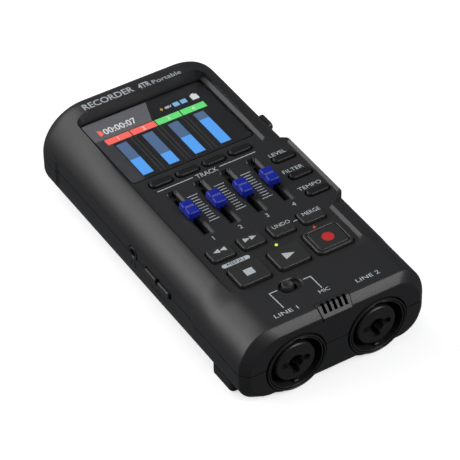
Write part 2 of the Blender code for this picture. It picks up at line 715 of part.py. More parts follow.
def build_feet():
    places = (("front_foot_left", -34.5, -60.4, 11.4, 14.6, 3.6, 8.6),
              ("front_foot_right", 34.5, -60.4, 11.4, 14.6, 3.6, 8.6),
              ("rear_foot_left", -34.2, 50.0, 6.4, 17.0, 2.0, 3.6),
              ("rear_foot_right", 34.2, 50.0, 6.4, 17.0, 2.0, 3.6))
    for name, x, y, w, d, r, top in places:
        foot = loft(name, [[(px, py, z) for px, py in
                            rounded(w - 2 * i, d - 2 * i, r - i, x, y, 4)]
                           for z, i in ((0.0, 0.6), (0.6, 0.0), (top, 0.0))])
        cut(foot, case_solid("fit", -GAP))
        name_it(foot, name, "black")


def main():
    clear_scene()
    build_case()
    build_display()
    for key in KEYS:
        build_key(*key)
    build_record_frame()
    for i in range(TRACKS):
        build_fader(i)
    build_leds()
    build_selector()
    build_mic()
    for tag, x in zip(("left", "right"), JACK_X):
        build_jack(tag, x)
    build_side_controls()
    build_batteries()
    build_door()
    build_boards()
    build_screws()
    build_feet()


main()
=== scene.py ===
"""Looks of the pocket four-track recorder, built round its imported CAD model.

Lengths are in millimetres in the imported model's frame (+X right, +Y towards the
display end, +Z up) and are multiplied by MM where they reach Blender.
"""
import math

import bmesh
import bpy
from mathutils import Matrix, Vector


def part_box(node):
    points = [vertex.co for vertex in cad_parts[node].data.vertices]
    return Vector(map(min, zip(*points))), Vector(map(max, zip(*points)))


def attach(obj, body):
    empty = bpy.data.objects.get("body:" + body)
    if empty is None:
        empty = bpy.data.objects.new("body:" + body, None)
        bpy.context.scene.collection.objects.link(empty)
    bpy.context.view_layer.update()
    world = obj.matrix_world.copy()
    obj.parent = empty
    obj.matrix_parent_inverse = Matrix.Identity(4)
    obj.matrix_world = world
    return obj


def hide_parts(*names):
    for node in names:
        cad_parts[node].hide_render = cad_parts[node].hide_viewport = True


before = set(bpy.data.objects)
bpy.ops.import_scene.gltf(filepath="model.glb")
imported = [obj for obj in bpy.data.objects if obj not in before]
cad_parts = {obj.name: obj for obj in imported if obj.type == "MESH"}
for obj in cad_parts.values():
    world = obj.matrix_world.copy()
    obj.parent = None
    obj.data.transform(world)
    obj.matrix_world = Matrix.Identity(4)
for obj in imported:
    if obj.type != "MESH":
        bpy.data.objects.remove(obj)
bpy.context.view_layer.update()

MM = 0.001


def span(node):
    """Lowest and highest corner of a CAD node, in millimetres."""
    low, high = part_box(node)
    return low / MM, high / MM


def middle(node):
    low, high = span(node)
    return (low + high) / 2


def spot(node):
    """Middle of a CAD node, seen from above."""
    return middle(node)[:2]


def plan(node):
    """Width and depth of a CAD node, seen from above."""
    low, high = span(node)
    return high.x - low.x, high.y - low.y


def quarter(steps):
    """Angles of a quarter turn, both ends included."""
    return [math.pi / 2 * k / steps for k in range(steps + 1)]


# --- driving sizes, read from the frame where it has them ----------------
GAP, KEY_GAP, SEAM = 0.3, 0.5, 0.15
WALL, FLANGE, BEVEL = 2.2, 0.8, 1.3
UPPER_LOW, UPPER_HIGH = span("upper_case")
LOWER_LOW, LOWER_HIGH = span("lower_case")
LENS_LOW, LENS_HIGH = span("lcd_lens")
HALF_W = LOWER_HIGH.x
FRONT_Y, REAR_Y = UPPER_LOW.y, UPPER_HIGH.y
PARTING_Z = (UPPER_LOW.z + LOWER_HIGH.z) / 2
PANEL_Z = LENS_HIGH.z
BOTTOM_Z = 2.0
CHAMFER, EDGE_R = 3.3, 0.5
REAR_PLAN_R, REAR_TOP_R, REAR_LOW_R, LOW_R = 6.0, 8.6, 2.6, 9.8
FLANK_STEPS, LOW_STEPS = 22, 12
THROUGH_TOP = [(20, 0), (50, 0)]
# stations along Y: crown height, width and height of the elliptic flank, which
# keeps its height up to the record key on the right and eases down on the left
REAR_STATIONS = ((26.0, 35.6, 12.5, 19.6), (62.0, 39.66, 19.5, 23.0))
RIGHT_STATIONS = ((-56.0, 34.38, 11.2, 18.4), (-51.5, 35.6, 12.5, 19.6)) + REAR_STATIONS
LEFT_STATIONS = ((-57.0, 34.38, 15.0, 17.0), (-43.0, 35.6, 12.5, 19.6)) + REAR_STATIONS
PANEL_LEFT, PANEL_RIGHT, PANEL_REAR, PANEL_FRONT = -29.7, 28.6, 67.0, -54.5
POD_RIGHT, POD_WALL, POD_TOP = 36.6, 1.4, 35.6
POD_REAR_Y, POD_FRONT_Y, POD_REAR_IN, POD_FRONT_IN = 12.2, -24.2, 18.2, -30.2
LEDGE_Z = LENS_LOW.z - GAP
KEY_CORNERS = {"track": 1.85, "input": 1.85, "effect": 1.85, "rhythm": 1.85, "stop": 1.5,
               "play": 1.5, "record": 1.2}
SQUARE_CORNER = 1.3
SIDE_RECESS = (-44.0, 67.0, 9.0, 27.0, 0.9)
MIC_PROFILE = ((-74.0, 34.7), (-76.0, 34.7), (-79.7, 31.0), (-79.7, 29.6), (-77.2, 29.6),
               (-74.0, 32.8))
MIC_NOTCH = ((-73.7, 50.0), (-90.0, 50.0), (-90.0, 29.3), (-77.0, 29.3), (-73.7, 32.6))
MIC_TOP, MIC_LOW = (34.7, 14.6), (29.6, 12.6)
MIC_SLOT_W, MIC_PITCH, MIC_LIP_Y = 1.35, 2.4, -78.5
SIDE_KEY, POWER_Z = (8.6, 3.0), 26.2
PIN_AT = 4.7


# --- mesh helpers --------------------------------------------------------
def new_object(name, mesh):
    obj = bpy.data.objects.new(name, mesh)
    bpy.context.scene.collection.objects.link(obj)
    return obj


def from_bmesh(bm, name="solid"):
    bmesh.ops.recalc_face_normals(bm, faces=bm.faces)
    mesh = bpy.data.meshes.new(name)
    bm.to_mesh(mesh)
    bm.free()
    return new_object(name, mesh)


def loft(rings):
    """Close a stack of equal rings of (x, y, z) points into one body."""
    bm = bmesh.new()
    layers = [[bm.verts.new([c * MM for c in p]) for p in ring] for ring in rings]
    for low, high in zip(layers, layers[1:]):
        for i in range(len(low)):
            j = (i + 1) % len(low)
            bm.faces.new((low[i], low[j], high[j], high[i]))
    bm.faces.new(list(reversed(layers[0])))
    bm.faces.new(layers[-1])
    return from_bmesh(bm)


def place(axis, u, v, level):
    return {"X": (level, u, v), "Y": (u, level, v), "Z": (u, v, level)}[axis]


def lathe(axis, centre, profile, sides=64):
    """Turn a closed profile of (radius, level) points round an axis."""
    bm = bmesh.new()
    rows = []
    for k in range(sides):
        a = 2 * math.pi * k / sides
        rows.append([bm.verts.new([c * MM for c in place(
            axis, centre[0] + r * math.cos(a), centre[1] + r * math.sin(a), level)])
            for r, level in profile])
    for k in range(sides):
        here, after = rows[k], rows[(k + 1) % sides]
        for i in range(len(profile)):
            j = (i + 1) % len(profile)
            if profile[i][0] or profile[j][0]:
                bm.faces.new((here[i], here[j], after[j], after[i]))
    bmesh.ops.remove_doubles(bm, verts=bm.verts, dist=1e-7)
    bmesh.ops.dissolve_degenerate(bm, edges=bm.edges, dist=1e-7)
    return from_bmesh(bm)


def bar(axis, centre, radius, low, high, sides=48):
    """Plain round bar."""
    return loft([[place(axis, centre[0] + radius * math.cos(2 * math.pi * k / sides),
                        centre[1] + radius * math.sin(2 * math.pi * k / sides), level)
                  for k in range(sides)] for level in (low, high)])


def block(x0, x1, y0, y1, z0, z1):
    return loft([[(x0, y0, z), (x1, y0, z), (x1, y1, z), (x0, y1, z)] for z in (z0, z1)])


def filleted(corners, steps=6):
    """Round each corner (x, y, r) of a polygon with an arc."""
    points = []
    for i, (x, y, r) in enumerate(corners):
        here = Vector((x, y))
        before = (Vector(corners[i - 1][:2]) - here).normalized()
        after = (Vector(corners[(i + 1) % len(corners)][:2]) - here).normalized()
        half = before.angle(after) / 2
        centre = here + (before + after).normalized() * (r / math.sin(half))
        start = here + before * (r / math.tan(half)) - centre
        turn = start.angle_signed(here + after * (r / math.tan(half)) - centre)
        for k in range(steps + 1):
            arm = start.copy()
            arm.rotate(Matrix.Rotation(-turn * k / steps, 2))
            points.append(tuple(centre + arm))
    return points


def rounded(w, d, r, cx=0.0, cy=0.0, steps=6):
    r = min(r, w / 2 - 0.01, d / 2 - 0.01)
    return filleted([(cx + sx * w / 2, cy + sy * d / 2, r)
                     for sx, sy in ((-1, -1), (1, -1), (1, 1), (-1, 1))], steps)


def stack(axis, size, centre, levels, steps=6):
    """Rounded bar (w, d, corner) whose outline grows by a set amount at each level."""
    w, d, r = size
    return loft([[place(axis, u, v, level) for u, v in
                  rounded(w + 2 * g, d + 2 * g, max(0.15, r + g), *centre, steps)]
                 for level, g in levels])


def soft_top(top, fillet, steps=5):
    """Levels of a filleted upper edge: (level, growth)."""
    return [(top - fillet * (1 - math.sin(a)), -fillet * (1 - math.cos(a))) for a in quarter(steps)]


def merged(objs):
    """Solids that don't touch, as one object."""
    bm = bmesh.new()
    for obj in objs:
        bm.from_mesh(obj.data)
        bpy.data.objects.remove(obj)
    return from_bmesh(bm)


def combine(obj, other, operation):
    change = obj.modifiers.new("shape", "BOOLEAN")
    change.operation = operation
    change.solver = "EXACT"
    change.object = other
    baked(obj)
    bpy.data.objects.remove(other)
    return obj


def cut(obj, *groups):
    """Cut each group of separate solids away."""
    for group in groups:
        combine(obj, merged(group) if isinstance(group, list) else group, "DIFFERENCE")
    return obj


def join(obj, *others):
    for other in others:
        combine(obj, other, "UNION")
    return obj


def keep(obj, other):
    return combine(obj, other, "INTERSECT")


def copy_of(obj):
    return new_object("copy", obj.data.copy())


def solved(obj):
    """Mesh of an object with its modifiers applied."""
    bpy.context.view_layer.update()
    return bpy.data.meshes.new_from_object(obj.evaluated_get(bpy.context.evaluated_depsgraph_get()))


def baked(obj):
    mesh = solved(obj)
    obj.modifiers.clear()
    obj.data = mesh
    return obj


def finish(obj, name, material, body="case", replaces=(), angle=32, weighted=True):
    """Name, shade, paint and hang a piece on its body."""
    obj.name = obj.data.name = name
    obj.data.materials.clear()
    obj.data.materials.append(material)
    obj.data.shade_smooth()
    obj.data.set_sharp_from_angle(angle=math.radians(angle))
    if weighted:
        obj.modifiers.new("normals", "WEIGHTED_NORMAL").keep_sharp = True
    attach(obj, body)
    if replaces:
        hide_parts(*replaces)
    return obj


def repaint(obj, material, chosen):
    """Give the faces that a test picks a second material."""
    obj.data.materials.append(material)
    for face in obj.data.polygons:
        if chosen(face):
            face.material_index = 1


def paint(node_name, material):
    """Colour a CAD node that stays in view."""
    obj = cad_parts[node_name]
    obj.data.materials.clear()
    obj.data.materials.append(material)


# --- materials -----------------------------------------------------------
def node(tree, kind, **values):
    made = tree.nodes.new(kind)
    for key, value in values.items():
        if key in made.inputs.keys():
            made.inputs[key].default_value = value
        else:
            setattr(made, key, value)
    return made


def surface(name, colour, rough, grain=2500.0, depth=6e-6, spread=0.10, rough_spread=0.05,
            metal=0.0, coat=0.0, level=0.5):
    """Moulded or plated surface: tone and gloss drift slowly, a fine grain bumps it."""
    mat = bpy.data.materials.new(name)
    mat.use_nodes = True
    tree = mat.node_tree
    shader = tree.nodes["Principled BSDF"]
    shader.inputs["Metallic"].default_value = metal
    shader.inputs["Coat Weight"].default_value = coat
    shader.inputs["Specular IOR Level"].default_value = level
    place_at = tree.nodes.new("ShaderNodeTexCoord").outputs["Object"]
    wide = node(tree, "ShaderNodeTexNoise", Scale=70.0, Detail=3.0)
    fine = node(tree, "ShaderNodeTexNoise", Scale=grain, Detail=2.0)
    for noise in (wide, fine):
        tree.links.new(place_at, noise.inputs["Vector"])
    tone = node(tree, "ShaderNodeMix", data_type="RGBA")
    for socket in tone.inputs:
        if socket.type == "RGBA":
            sign = -spread if socket.name == "A" else spread
            socket.default_value = (*[min(1.0, c * (1 + sign)) for c in colour], 1)
    tree.links.new(wide.outputs["Fac"], tone.inputs["Factor"])
    tree.links.new([o for o in tone.outputs if o.type == "RGBA"][0], shader.inputs["Base Color"])
    gloss = node(tree, "ShaderNodeMapRange")
    gloss.inputs["To Min"].default_value = rough - rough_spread
    gloss.inputs["To Max"].default_value = rough + rough_spread
    tree.links.new(fine.outputs["Fac"], gloss.inputs["Value"])
    tree.links.new(gloss.outputs["Result"], shader.inputs["Roughness"])
    bump = node(tree, "ShaderNodeBump", Strength=1.0, Distance=depth)
    tree.links.new(fine.outputs["Fac"], bump.inputs["Height"])
    tree.links.new(bump.outputs["Normal"], shader.inputs["Normal"])
    return mat


def lit(name, colour, strength, base=None):
    """Screen, lamp or painted reflection: glows, with a little unevenness in the light."""
    mat = surface(name, base or [c * 0.3 for c in colour], 0.3, depth=1e-6)
    shader = mat.node_tree.nodes["Principled BSDF"]
    shader.inputs["Emission Color"].default_value = (*colour, 1)
    shader.inputs["Emission Strength"].default_value = strength
    return mat


def glass(name, tint):
    mat = bpy.data.materials.new(name)
    mat.use_nodes = True
    shader = mat.node_tree.nodes["Principled BSDF"]
    shader.inputs["Base Color"].default_value = (*tint, 1)
    shader.inputs["Roughness"].default_value = 0.02
    shader.inputs["IOR"].default_value = 1.49
    shader.inputs["Transmission Weight"].default_value = 1.0
    return mat


SHELL = surface("moulded_shell", (0.021, 0.021, 0.0225), 0.42, depth=7e-6)
SOFTKEY = surface("soft_key", (0.009, 0.009, 0.0095), 0.46, grain=3200, depth=5e-6, level=0.35)
KEYTOP = surface("moulded_key", (0.026, 0.026, 0.0265), 0.40, grain=3200, depth=5e-6)
FADER = surface("fader_blue", (0.009, 0.021, 0.34), 0.34, grain=3000, depth=4e-6, level=0.35)
LENS = glass("lens_acrylic", (0.8, 0.8, 0.82))
PANELBACK = lit("display_black", (0.045, 0.045, 0.048), 0.25, (0.008, 0.008, 0.009))
JACK = surface("jack_nylon", (0.022, 0.022, 0.022), 0.38, grain=1800)
INSERT = surface("insert_nylon", (0.017, 0.017, 0.017), 0.42, grain=1500, depth=9e-6)
METAL = surface("nickel", (0.62, 0.60, 0.57), 0.26, grain=900, metal=1.0)
# Painted shade: the side marks are flat near-black plates that stand in for the shade in engraved
# marks.
ENGRAVING_SHADE = surface("engraving_painted_shade", (0.005, 0.005, 0.0055), 0.6, level=0.2)
# Painted shade: flat black for seam faces, slot walls and lens edges that look dark only because
# they lie in shade.
PAINTED_SHADE = surface("shadow_black", (0.002, 0.002, 0.002), 0.7, level=0.1)
STEEL = surface("black_steel", (0.05, 0.05, 0.05), 0.32, grain=1200, metal=1.0)
BOARD = surface("solder_mask", (0.012, 0.10, 0.04), 0.35, grain=500, depth=2e-5, spread=0.3)
WRAP = surface("battery_wrap", (0.03, 0.032, 0.04), 0.28, grain=300, metal=0.2)
WRAP_END = surface("battery_copper", (0.55, 0.30, 0.13), 0.30, grain=300, metal=1.0)
RUBBER = surface("foot_rubber", (0.011, 0.011, 0.011), 0.62, grain=1600, depth=1.6e-5)
PRINT = surface("print_grey", (0.50, 0.55, 0.57), 0.5, grain=2000, depth=2e-6)
PRINT_RED = surface("print_red", (0.58, 0.030, 0.036), 0.4, grain=2000, depth=2e-6)
LED_GREEN = lit("led_green", (0.42, 0.80, 0.045), 1.3)
LED_RED = lit("led_red", (0.85, 0.07, 0.04), 0.55)
# The two grey glowing sheets are painted reflection: they stand in for a light reflected in the
# lens. The other colours are what the screen shows.
UI = {name: lit("screen_" + name, colour, strength) for name, colour, strength in (
    ("blue", (0.10, 0.38, 0.92), 1.18), ("dim", (0.085, 0.155, 0.28), 1.18),
    ("red", (0.96, 0.15, 0.12), 1.25), ("green", (0.14, 0.76, 0.19), 1.2),
    ("painted_reflection", (0.14, 0.14, 0.148), 1.0), ("painted_margin_reflection", (0.052, 0.052, 0.057), 1.0),
    ("white", (0.85, 0.87, 0.88), 1.0), ("cyan", (0.25, 0.55, 0.85), 1.0),
    ("yellow", (0.85, 0.62, 0.10), 1.0), ("line", (0.09, 0.088, 0.085), 0.8))}


# --- the case's outer form -----------------------------------------------
def crown(y, stations):
    """Crown height and flank ellipse at y, eased between stations."""
    if y <= stations[0][0]:
        return stations[0][1:]
    for (y0, *a), (y1, *b) in zip(stations, stations[1:]):
        if y <= y1:
            t = (y - y0) / (y1 - y0)
            t = t * t * (3 - 2 * t)
            return tuple(p + (q - p) * t for p, q in zip(a, b))
    return stations[-1][1:]


def rounding(y, end, r):
    """How far an edge of radius r has drawn in at y, near the rear end."""
    past = min(r, max(0.0, y - (end - r)))
    return r - math.sqrt(max(0.0, r * r - past * past))


def half_ring(y, stations, inset, ceiling, end, front_inset):
    """Right half of a section across Y, from the crown down and under."""
    top, flank_w, flank_h = crown(y, stations)
    half = HALF_W - inset - front_inset - rounding(y, end, REAR_PLAN_R)
    top = top - inset - front_inset - rounding(y, end, REAR_TOP_R)
    if ceiling is not None:
        top = min(top, ceiling)
    low = BOTTOM_Z + inset + 0.45 * front_inset + rounding(y, end, REAR_LOW_R)
    flank_w = max(1.0, flank_w - inset)
    flank_h = min(flank_h - inset, top - PARTING_Z - 0.8)
    low_r = min(LOW_R - inset, PARTING_Z - 0.8 - low)
    return [(half - flank_w + flank_w * math.sin(a), y, top - flank_h + flank_h * math.cos(a))
            for a in quarter(FLANK_STEPS)] + [
        (half - low_r + low_r * math.cos(a), y, low + low_r - low_r * math.sin(a))
        for a in quarter(LOW_STEPS)]


def case_ring(y, inset, ceiling, end, front_inset=0.0):
    """Section of the case across Y, shrunk evenly by inset."""
    right, left = (half_ring(y, stations, inset, ceiling, end, front_inset)
                   for stations in (RIGHT_STATIONS, LEFT_STATIONS))
    return right + [(-x, yy, z) for x, yy, z in reversed(left)]


def bend(start, corner, stop, steps=4):
    """Points of a smooth turn at a corner."""
    points = []
    for k in range(steps + 1):
        t = k / steps
        points.append(tuple((1 - t) ** 2 * a + 2 * t * (1 - t) * b + t * t * c
                            for a, b, c in zip(start, corner, stop)))
    return points


def front_edges():
    """(distance from the front face, inset) along the slanted strip, edges rounded."""
    along, across = 0.7 * EDGE_R, 0.7 * EDGE_R
    return (bend((0, CHAMFER + EDGE_R), (0, CHAMFER), (along, CHAMFER - across))
            + bend((CHAMFER - along, across), (CHAMFER, 0), (CHAMFER + EDGE_R, 0)))


def case_solid(inset=0.0, ceiling=None, fine=True):
    end, front = REAR_Y - inset, FRONT_Y + inset
    if fine:
        rings = [case_ring(front + d, inset, ceiling, end, i) for d, i in front_edges()]
        stops = [-70, -60, -57] + [-56 + 0.5 * k for k in range(10)]
        stops += [-50 + k for k in range(8)] + [-20, 0]
        stops += [26 + 3 * k for k in range(13)]
    else:
        rings = [case_ring(front, inset, ceiling, end, CHAMFER),
                 case_ring(front + CHAMFER, inset, ceiling, end)]
        stops = [-57, -56, -53.5, -51.5, -47, -43, 26, 40, 50, 62]
    reach = max(REAR_PLAN_R, REAR_TOP_R)
    stops = [y for y in stops if y < end - reach - 0.4]
    stops += [end - reach + reach * math.sin(math.radians(a))
              for a in ((0, 7, 14, 21, 28, 35, 42, 49, 56, 62, 68, 73, 78, 82, 86, 90) if fine
                        else (0, 30, 60, 86))]
    return loft(rings + [case_ring(y, inset, ceiling, end) for y in stops])


def panel_outline(side, rear):
    """Outline of the sunken panel, grown by side and rear amounts."""
    return filleted([(-25.2, -90.0, 0.5), (24.2, -90.0, 0.5),
        (24.2 + side * 0.3, PANEL_FRONT - side, 1.0),
        (PANEL_RIGHT + side, PANEL_FRONT + 3.0 - side, 2.0),
        (PANEL_RIGHT + side, POD_FRONT_IN - side * 0.4, 1.0),
        (POD_RIGHT + side, POD_FRONT_Y - side * 0.4, 1.0),
        (POD_RIGHT + side, POD_REAR_Y + side * 0.4, 1.0),
        (PANEL_RIGHT + side, POD_REAR_IN + side * 0.4, 1.0),
        (PANEL_RIGHT + side, PANEL_REAR + rear, 4.0), (PANEL_LEFT - side, PANEL_REAR + rear, 4.0),
        (PANEL_LEFT - side, PANEL_FRONT + 3.0 - side, 2.0),
        (-25.2 - side * 0.3, PANEL_FRONT - side, 1.0)], 6)


def panel_cutter():
    levels = ((PANEL_Z, 0.0, 0.0), (PANEL_Z + BEVEL, BEVEL, 0.2), (50.0, BEVEL + 0.8, 0.9))
    return loft([[(x, y, z) for x, y in panel_outline(side, rear)] for z, side, rear in levels])


def pod():
    """Raised shoulder at the right of the panel, under the mode keys."""
    rings = []
    for z, g in [(24.0, 0.0)] + soft_top(POD_TOP, 0.6, 4):
        reach = POD_RIGHT + POD_WALL + g
        outline = filleted([(26.0, POD_FRONT_IN - 3.4 - g, 0.5),
                            (reach, POD_FRONT_Y - 1.4 - g * 0.4, 2.0),
                            (reach, POD_REAR_Y + 1.4 + g * 0.4, 2.0),
                            (26.0, POD_REAR_IN + 3.4 + g, 0.5)], 5)
        rings.append([(x, y, z) for x, y in outline])
    return loft(rings)


def jack_bulge(x, z):
    """Swelling of the lower case under a socket, flat where it meets the table."""
    back, r = FRONT_Y + 31.0, 16.1
    profile = [(0, FRONT_Y + 1.6), (r - 1.2, FRONT_Y + 1.6), (r, FRONT_Y + 2.8)]
    profile += [(r - 4 + 4 * math.cos(a), back - 4 + 4 * math.sin(a))
                for a in quarter(6)] + [(0, back)]
    solid = lathe("Y", (x, z), profile, 96)
    return cut(solid, [block(-60, 60, -90, 0, -10, LOWER_LOW.z), block(-60, 60, -90, 0, 12.0, 40)])


# --- openings in the case ------------------------------------------------
def mouth(axis, size, centre, deep, level, flare=0.25):
    """Cutter for a hole whose edge is broken by a small chamfer."""
    away = 1 if level > deep else -1
    return stack(axis, size, centre,
                 [(deep, 0.0), (level - away * flare, 0.0), (level + away * 0.35, flare + 0.35),
                  (level + away * 12, flare + 0.35)])


def key_size(key):
    w, d = plan(key)
    corner = KEY_CORNERS.get(key.split("_")[0], SQUARE_CORNER)
    return w - 2 * FLANGE, d - 2 * FLANGE, corner


def grown(size, by):
    return size[0] + 2 * by, size[1] + 2 * by, size[2] + by


KEYS = [n for n in sorted(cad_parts) if n.endswith("_key") or n.startswith("track_key")]
KEYS = [n for n in KEYS if not n.startswith("volume")]
FADERS = [n for n in sorted(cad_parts) if n.startswith("fader_cap")]
JACKS = ("left", "right")
SCREWS = [n for n in sorted(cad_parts) if n.startswith("case_screw")]
SELECTOR = spot("input_select_switch")
FEET = [n for n in sorted(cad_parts) if "_foot_" in n]


def key_holes():
    holes = []
    for key in KEYS:
        size, at = grown(key_size(key), KEY_GAP), spot(key)
        if key == "record_key":
            holes.append(stack("Z", size, at, THROUGH_TOP))
        else:
            holes.append(mouth("Z", size, at, 20, PANEL_Z, 0.12))
    return holes


def frame_seat():
    w, d = plan("record_key_frame")
    return mouth("Z", (w + 0.7, d + 0.7, 2.9), spot("record_key_frame"),
                 span("record_key_frame")[0].z - GAP, PANEL_Z, 0.2)


def fader_recesses():
    levels = [(PANEL_Z - 1.1, -0.9), (PANEL_Z - 0.95, -0.7), (PANEL_Z, -0.1),
              (PANEL_Z + 0.2, 0.15), (50, 0.15)]
    return [stack("Z", (5.2, 30.0, 0.8), spot(cap), levels) for cap in FADERS]


def fader_slots():
    return [stack("Z", (2.6, 28.0, 0.4), (middle(cap).x, middle(cap).y + 1.0),
                  THROUGH_TOP) for cap in FADERS]


def lamp_holes():
    return [lathe("Z", spot(led),
                  [(0, 20), (0.8, 20), (0.8, PANEL_Z - 0.15), (1.3, PANEL_Z + 0.35), (1.3, 50),
                   (0, 50)], 32) for led in ("play_led", "record_led")]


def lens_seat():
    w, d = plan("lcd_lens")
    return stack("Z", (w + 2 * GAP, d + 2 * GAP, 2.2), spot("lcd_lens"), [(LEDGE_Z, 0), (50, 0)])


def lens_window():
    w, d = plan("lcd_lens")
    return stack("Z", (w - 6.4, d - 6.4, 1.0), spot("lcd_lens"), THROUGH_TOP)


def mic_wedge(profile, grow):
    """Tapered bar across the slanted strip, from a profile of (y, z) points."""
    def half(z):
        t = (MIC_TOP[0] - z) / (MIC_TOP[0] - MIC_LOW[0])
        return (MIC_TOP[1] + (MIC_LOW[1] - MIC_TOP[1]) * t) / 2 + grow

    x = middle("mic_grille").x
    return loft([[(x + side * half(z), y, z) for y, z in profile] for side in (-1, 1)])


def jack_openings():
    return [lathe("Y", (middle("input_jack_" + side).x, middle("input_jack_" + side).z),
                  [(0, FRONT_Y + 28.0), (12.9, FRONT_Y + 28.0), (12.9, FRONT_Y + 2.6),
                   (13.5, FRONT_Y + 2.6), (13.5, FRONT_Y + 0.25), (13.95, FRONT_Y - 0.35),
                   (13.95, -90), (0, -90)], 96) for side in JACKS]


def side_recess():
    y0, y1, z0, z1, depth = SIDE_RECESS
    return stack("Z", (10.0, y1 - y0, 4.0), (-HALF_W - 5.0 + depth, (y0 + y1) / 2),
                 [(z0, -0.4), (z0 + 0.9, 0.0), (z1, 0.0)], 10)


def side_openings():
    phone = middle("headphone_jack")
    holes = [lathe("X", (phone.y, phone.z),
                   [(0, -36), (3.3, -36), (3.3, -HALF_W + 1.2), (3.6, -HALF_W + 0.6), (3.6, -60),
                    (0, -60)], 48)]
    up, down = middle("volume_up_key"), middle("volume_down_key")
    holes.append(stack("X", (up.y - down.y + SIDE_KEY[0] + 1.6, SIDE_KEY[1] + 1.6, 2.0),
                       ((up.y + down.y) / 2, up.z), [(-60, 0), (-36, 0)], 8))
    power, card = middle("power_switch"), middle("card_slot_cover")
    holes.append(stack("X", (9.0, 2.4, 1.15), (power.y, POWER_Z), [(34, 0), (60, 0)]))
    holes.append(mouth("X", (13.6, 3.2, 1.5), (card.y, card.z), 36, HALF_W, 0.2))
    usb = middle("usb_port")
    holes.append(mouth("Y", (10.2, 4.6, 2.2), (usb.x, usb.z), 70, REAR_Y, 0.3))
    return holes


def bosses(r, low, high):
    return merged([bar("Z", spot(n), r, low, high, 32) for n in SCREWS])


def screw_holes():
    profile = [(0, -5), (2.9, -5), (2.9, 2.0), (2.6, 2.4), (2.6, 6.0), (1.4, 6.0), (1.4, 26),
               (0, 26)]
    return [lathe("Z", spot(n), profile, 32) for n in SCREWS]


def build_case():
    shell = case_solid()
    join(shell, pod())
    for side in JACKS:
        at = middle("jack_insert_" + side)
        join(shell, jack_bulge(at.x, at.z))
    cut(shell, panel_cutter(), side_recess())
    outer = copy_of(shell)
    cut(shell, case_solid(WALL, PANEL_Z - WALL, False))
    lower = copy_of(shell)
    keep(shell, block(-60, 60, -100, 100, PARTING_Z + SEAM, 60))
    keep(lower, block(-60, 60, -100, 100, -20, PARTING_Z - SEAM))
    join(shell, keep(bosses(2.9, PARTING_Z + SEAM, 30.0), copy_of(outer)))
    add_battery_bay(lower, outer)
    cut(shell, lens_seat(), lens_window(), key_holes(), frame_seat(), fader_recesses(),
        fader_slots(), lamp_holes(),
        mouth("Z", (9.6, 6.4, 3.19), SELECTOR, PANEL_Z - 1.4, PANEL_Z, 0.45),
        stack("Z", (6.0, 3.2, 1.5), SELECTOR, THROUGH_TOP), mic_wedge(MIC_NOTCH, GAP),
        stack("Z", (14.0, POD_REAR_Y - POD_FRONT_Y + 0.8, 1.0),
              (POD_RIGHT - 6.9, (POD_REAR_Y + POD_FRONT_Y) / 2), [(26.5, 0), (PANEL_Z - WALL, 0)]))
    for half, name, up in ((shell, "upper", -1), (lower, "lower", 1)):
        cut(half, screw_holes(), jack_openings(), side_openings())
        finish(half, name + "_shell", SHELL, replaces=[name + "_case"], weighted=False)
        # The faces at the parting line are painted black as the shade in the seam between the
        # shells.
        repaint(half, PAINTED_SHADE, lambda face: face.normal.z * up > 0.9
                and abs(face.center.z / MM - PARTING_Z) < 0.2)


def add_battery_bay(lower, outer):
    """Screw bosses, and the walls, floor and mouth of the battery bay."""
    (x0, y0, low), (x1, y1, high) = span("battery_door")
    bay = block(x0 - 2.2, x1 + 2.2, y0 + 0.8, y1 - 1.3, 2.8, PARTING_Z - SEAM)
    floor = block(x0 - 2.2, x1 + 2.2, y0 - 1.6, y1 + 1.6, 2.01, 5.4)
    join(lower, keep(bay, copy_of(outer)), keep(floor, copy_of(outer)),
         keep(bosses(3.4, 2.6, PARTING_Z - SEAM), outer))
    cut(lower, block(x0, x1, y0 + 3.0, y1 - 3.5, high, 30.0),
        mouth("Z", (x1 - x0 + 2 * GAP, y1 - y0 + 2 * GAP, 1.2), spot("battery_door"),
              high + GAP, BOTTOM_Z, 0.2))


# --- print ---------------------------------------------------------------
def lettering(name, words, centre, size, z, material=PRINT, body="case", slot="print",
              thick=0.03, bold=0.0):
    """Flat generic lettering fitted into a box, lying just proud of a surface.

    With no width given the letters keep their own shape.
    """
    curve = bpy.data.curves.new(name, "FONT")
    curve.body = words
    curve.resolution_u = 3
    curve.extrude = 0.5
    curve.offset = bold
    text = new_object(name, curve)
    mesh = solved(text)
    bpy.data.objects.remove(text)
    xs = [v.co.x for v in mesh.vertices]
    ys = [v.co.y for v in mesh.vertices]
    wide, tall = max(xs) - min(xs), max(ys) - min(ys)
    width = size[0] or wide / tall * size[1]
    for v in mesh.vertices:
        u = (v.co.x - min(xs)) / wide - 0.5
        w = (v.co.y - min(ys)) / tall - 0.5
        v.co = Vector((centre[0] + u * width, centre[1] + w * size[1],
                       z - 0.02 if v.co.z < 0 else z + thick)) * MM
    return finish(new_object(name, mesh), name, material, body, weighted=False)


def plates(name, outlines, z, material=PRINT, slot="print", body="case", thick=0.03):
    """Flat printed shapes, each an outline of (x, y) points."""
    made = [loft([[(x, y, level) for x, y in outline] for level in (z - 0.02, z + thick)])
            for outline in outlines]
    return finish(merged(made), name, material, body, weighted=False)


def rect(x0, x1, y0, y1):
    return [(x0, y0), (x1, y0), (x1, y1), (x0, y1)]


def stroke(points, width):
    """Outlines of the straight pieces of a line."""
    parts = []
    for a, b in zip(points, points[1:]):
        a, b = Vector(a), Vector(b)
        along = (b - a).normalized() * (width / 2)
        side = Vector((-along.y, along.x))
        parts.append([tuple(p) for p in (a - along - side, b + along - side, b + along + side,
                                         a - along + side)])
    return parts


def disc(x, y, r, sides=32, start=0.0, stop=360.0):
    return [(x + r * math.cos(math.radians(start + (stop - start) * k / sides)),
             y + r * math.sin(math.radians(start + (stop - start) * k / sides)))
            for k in range(sides)]


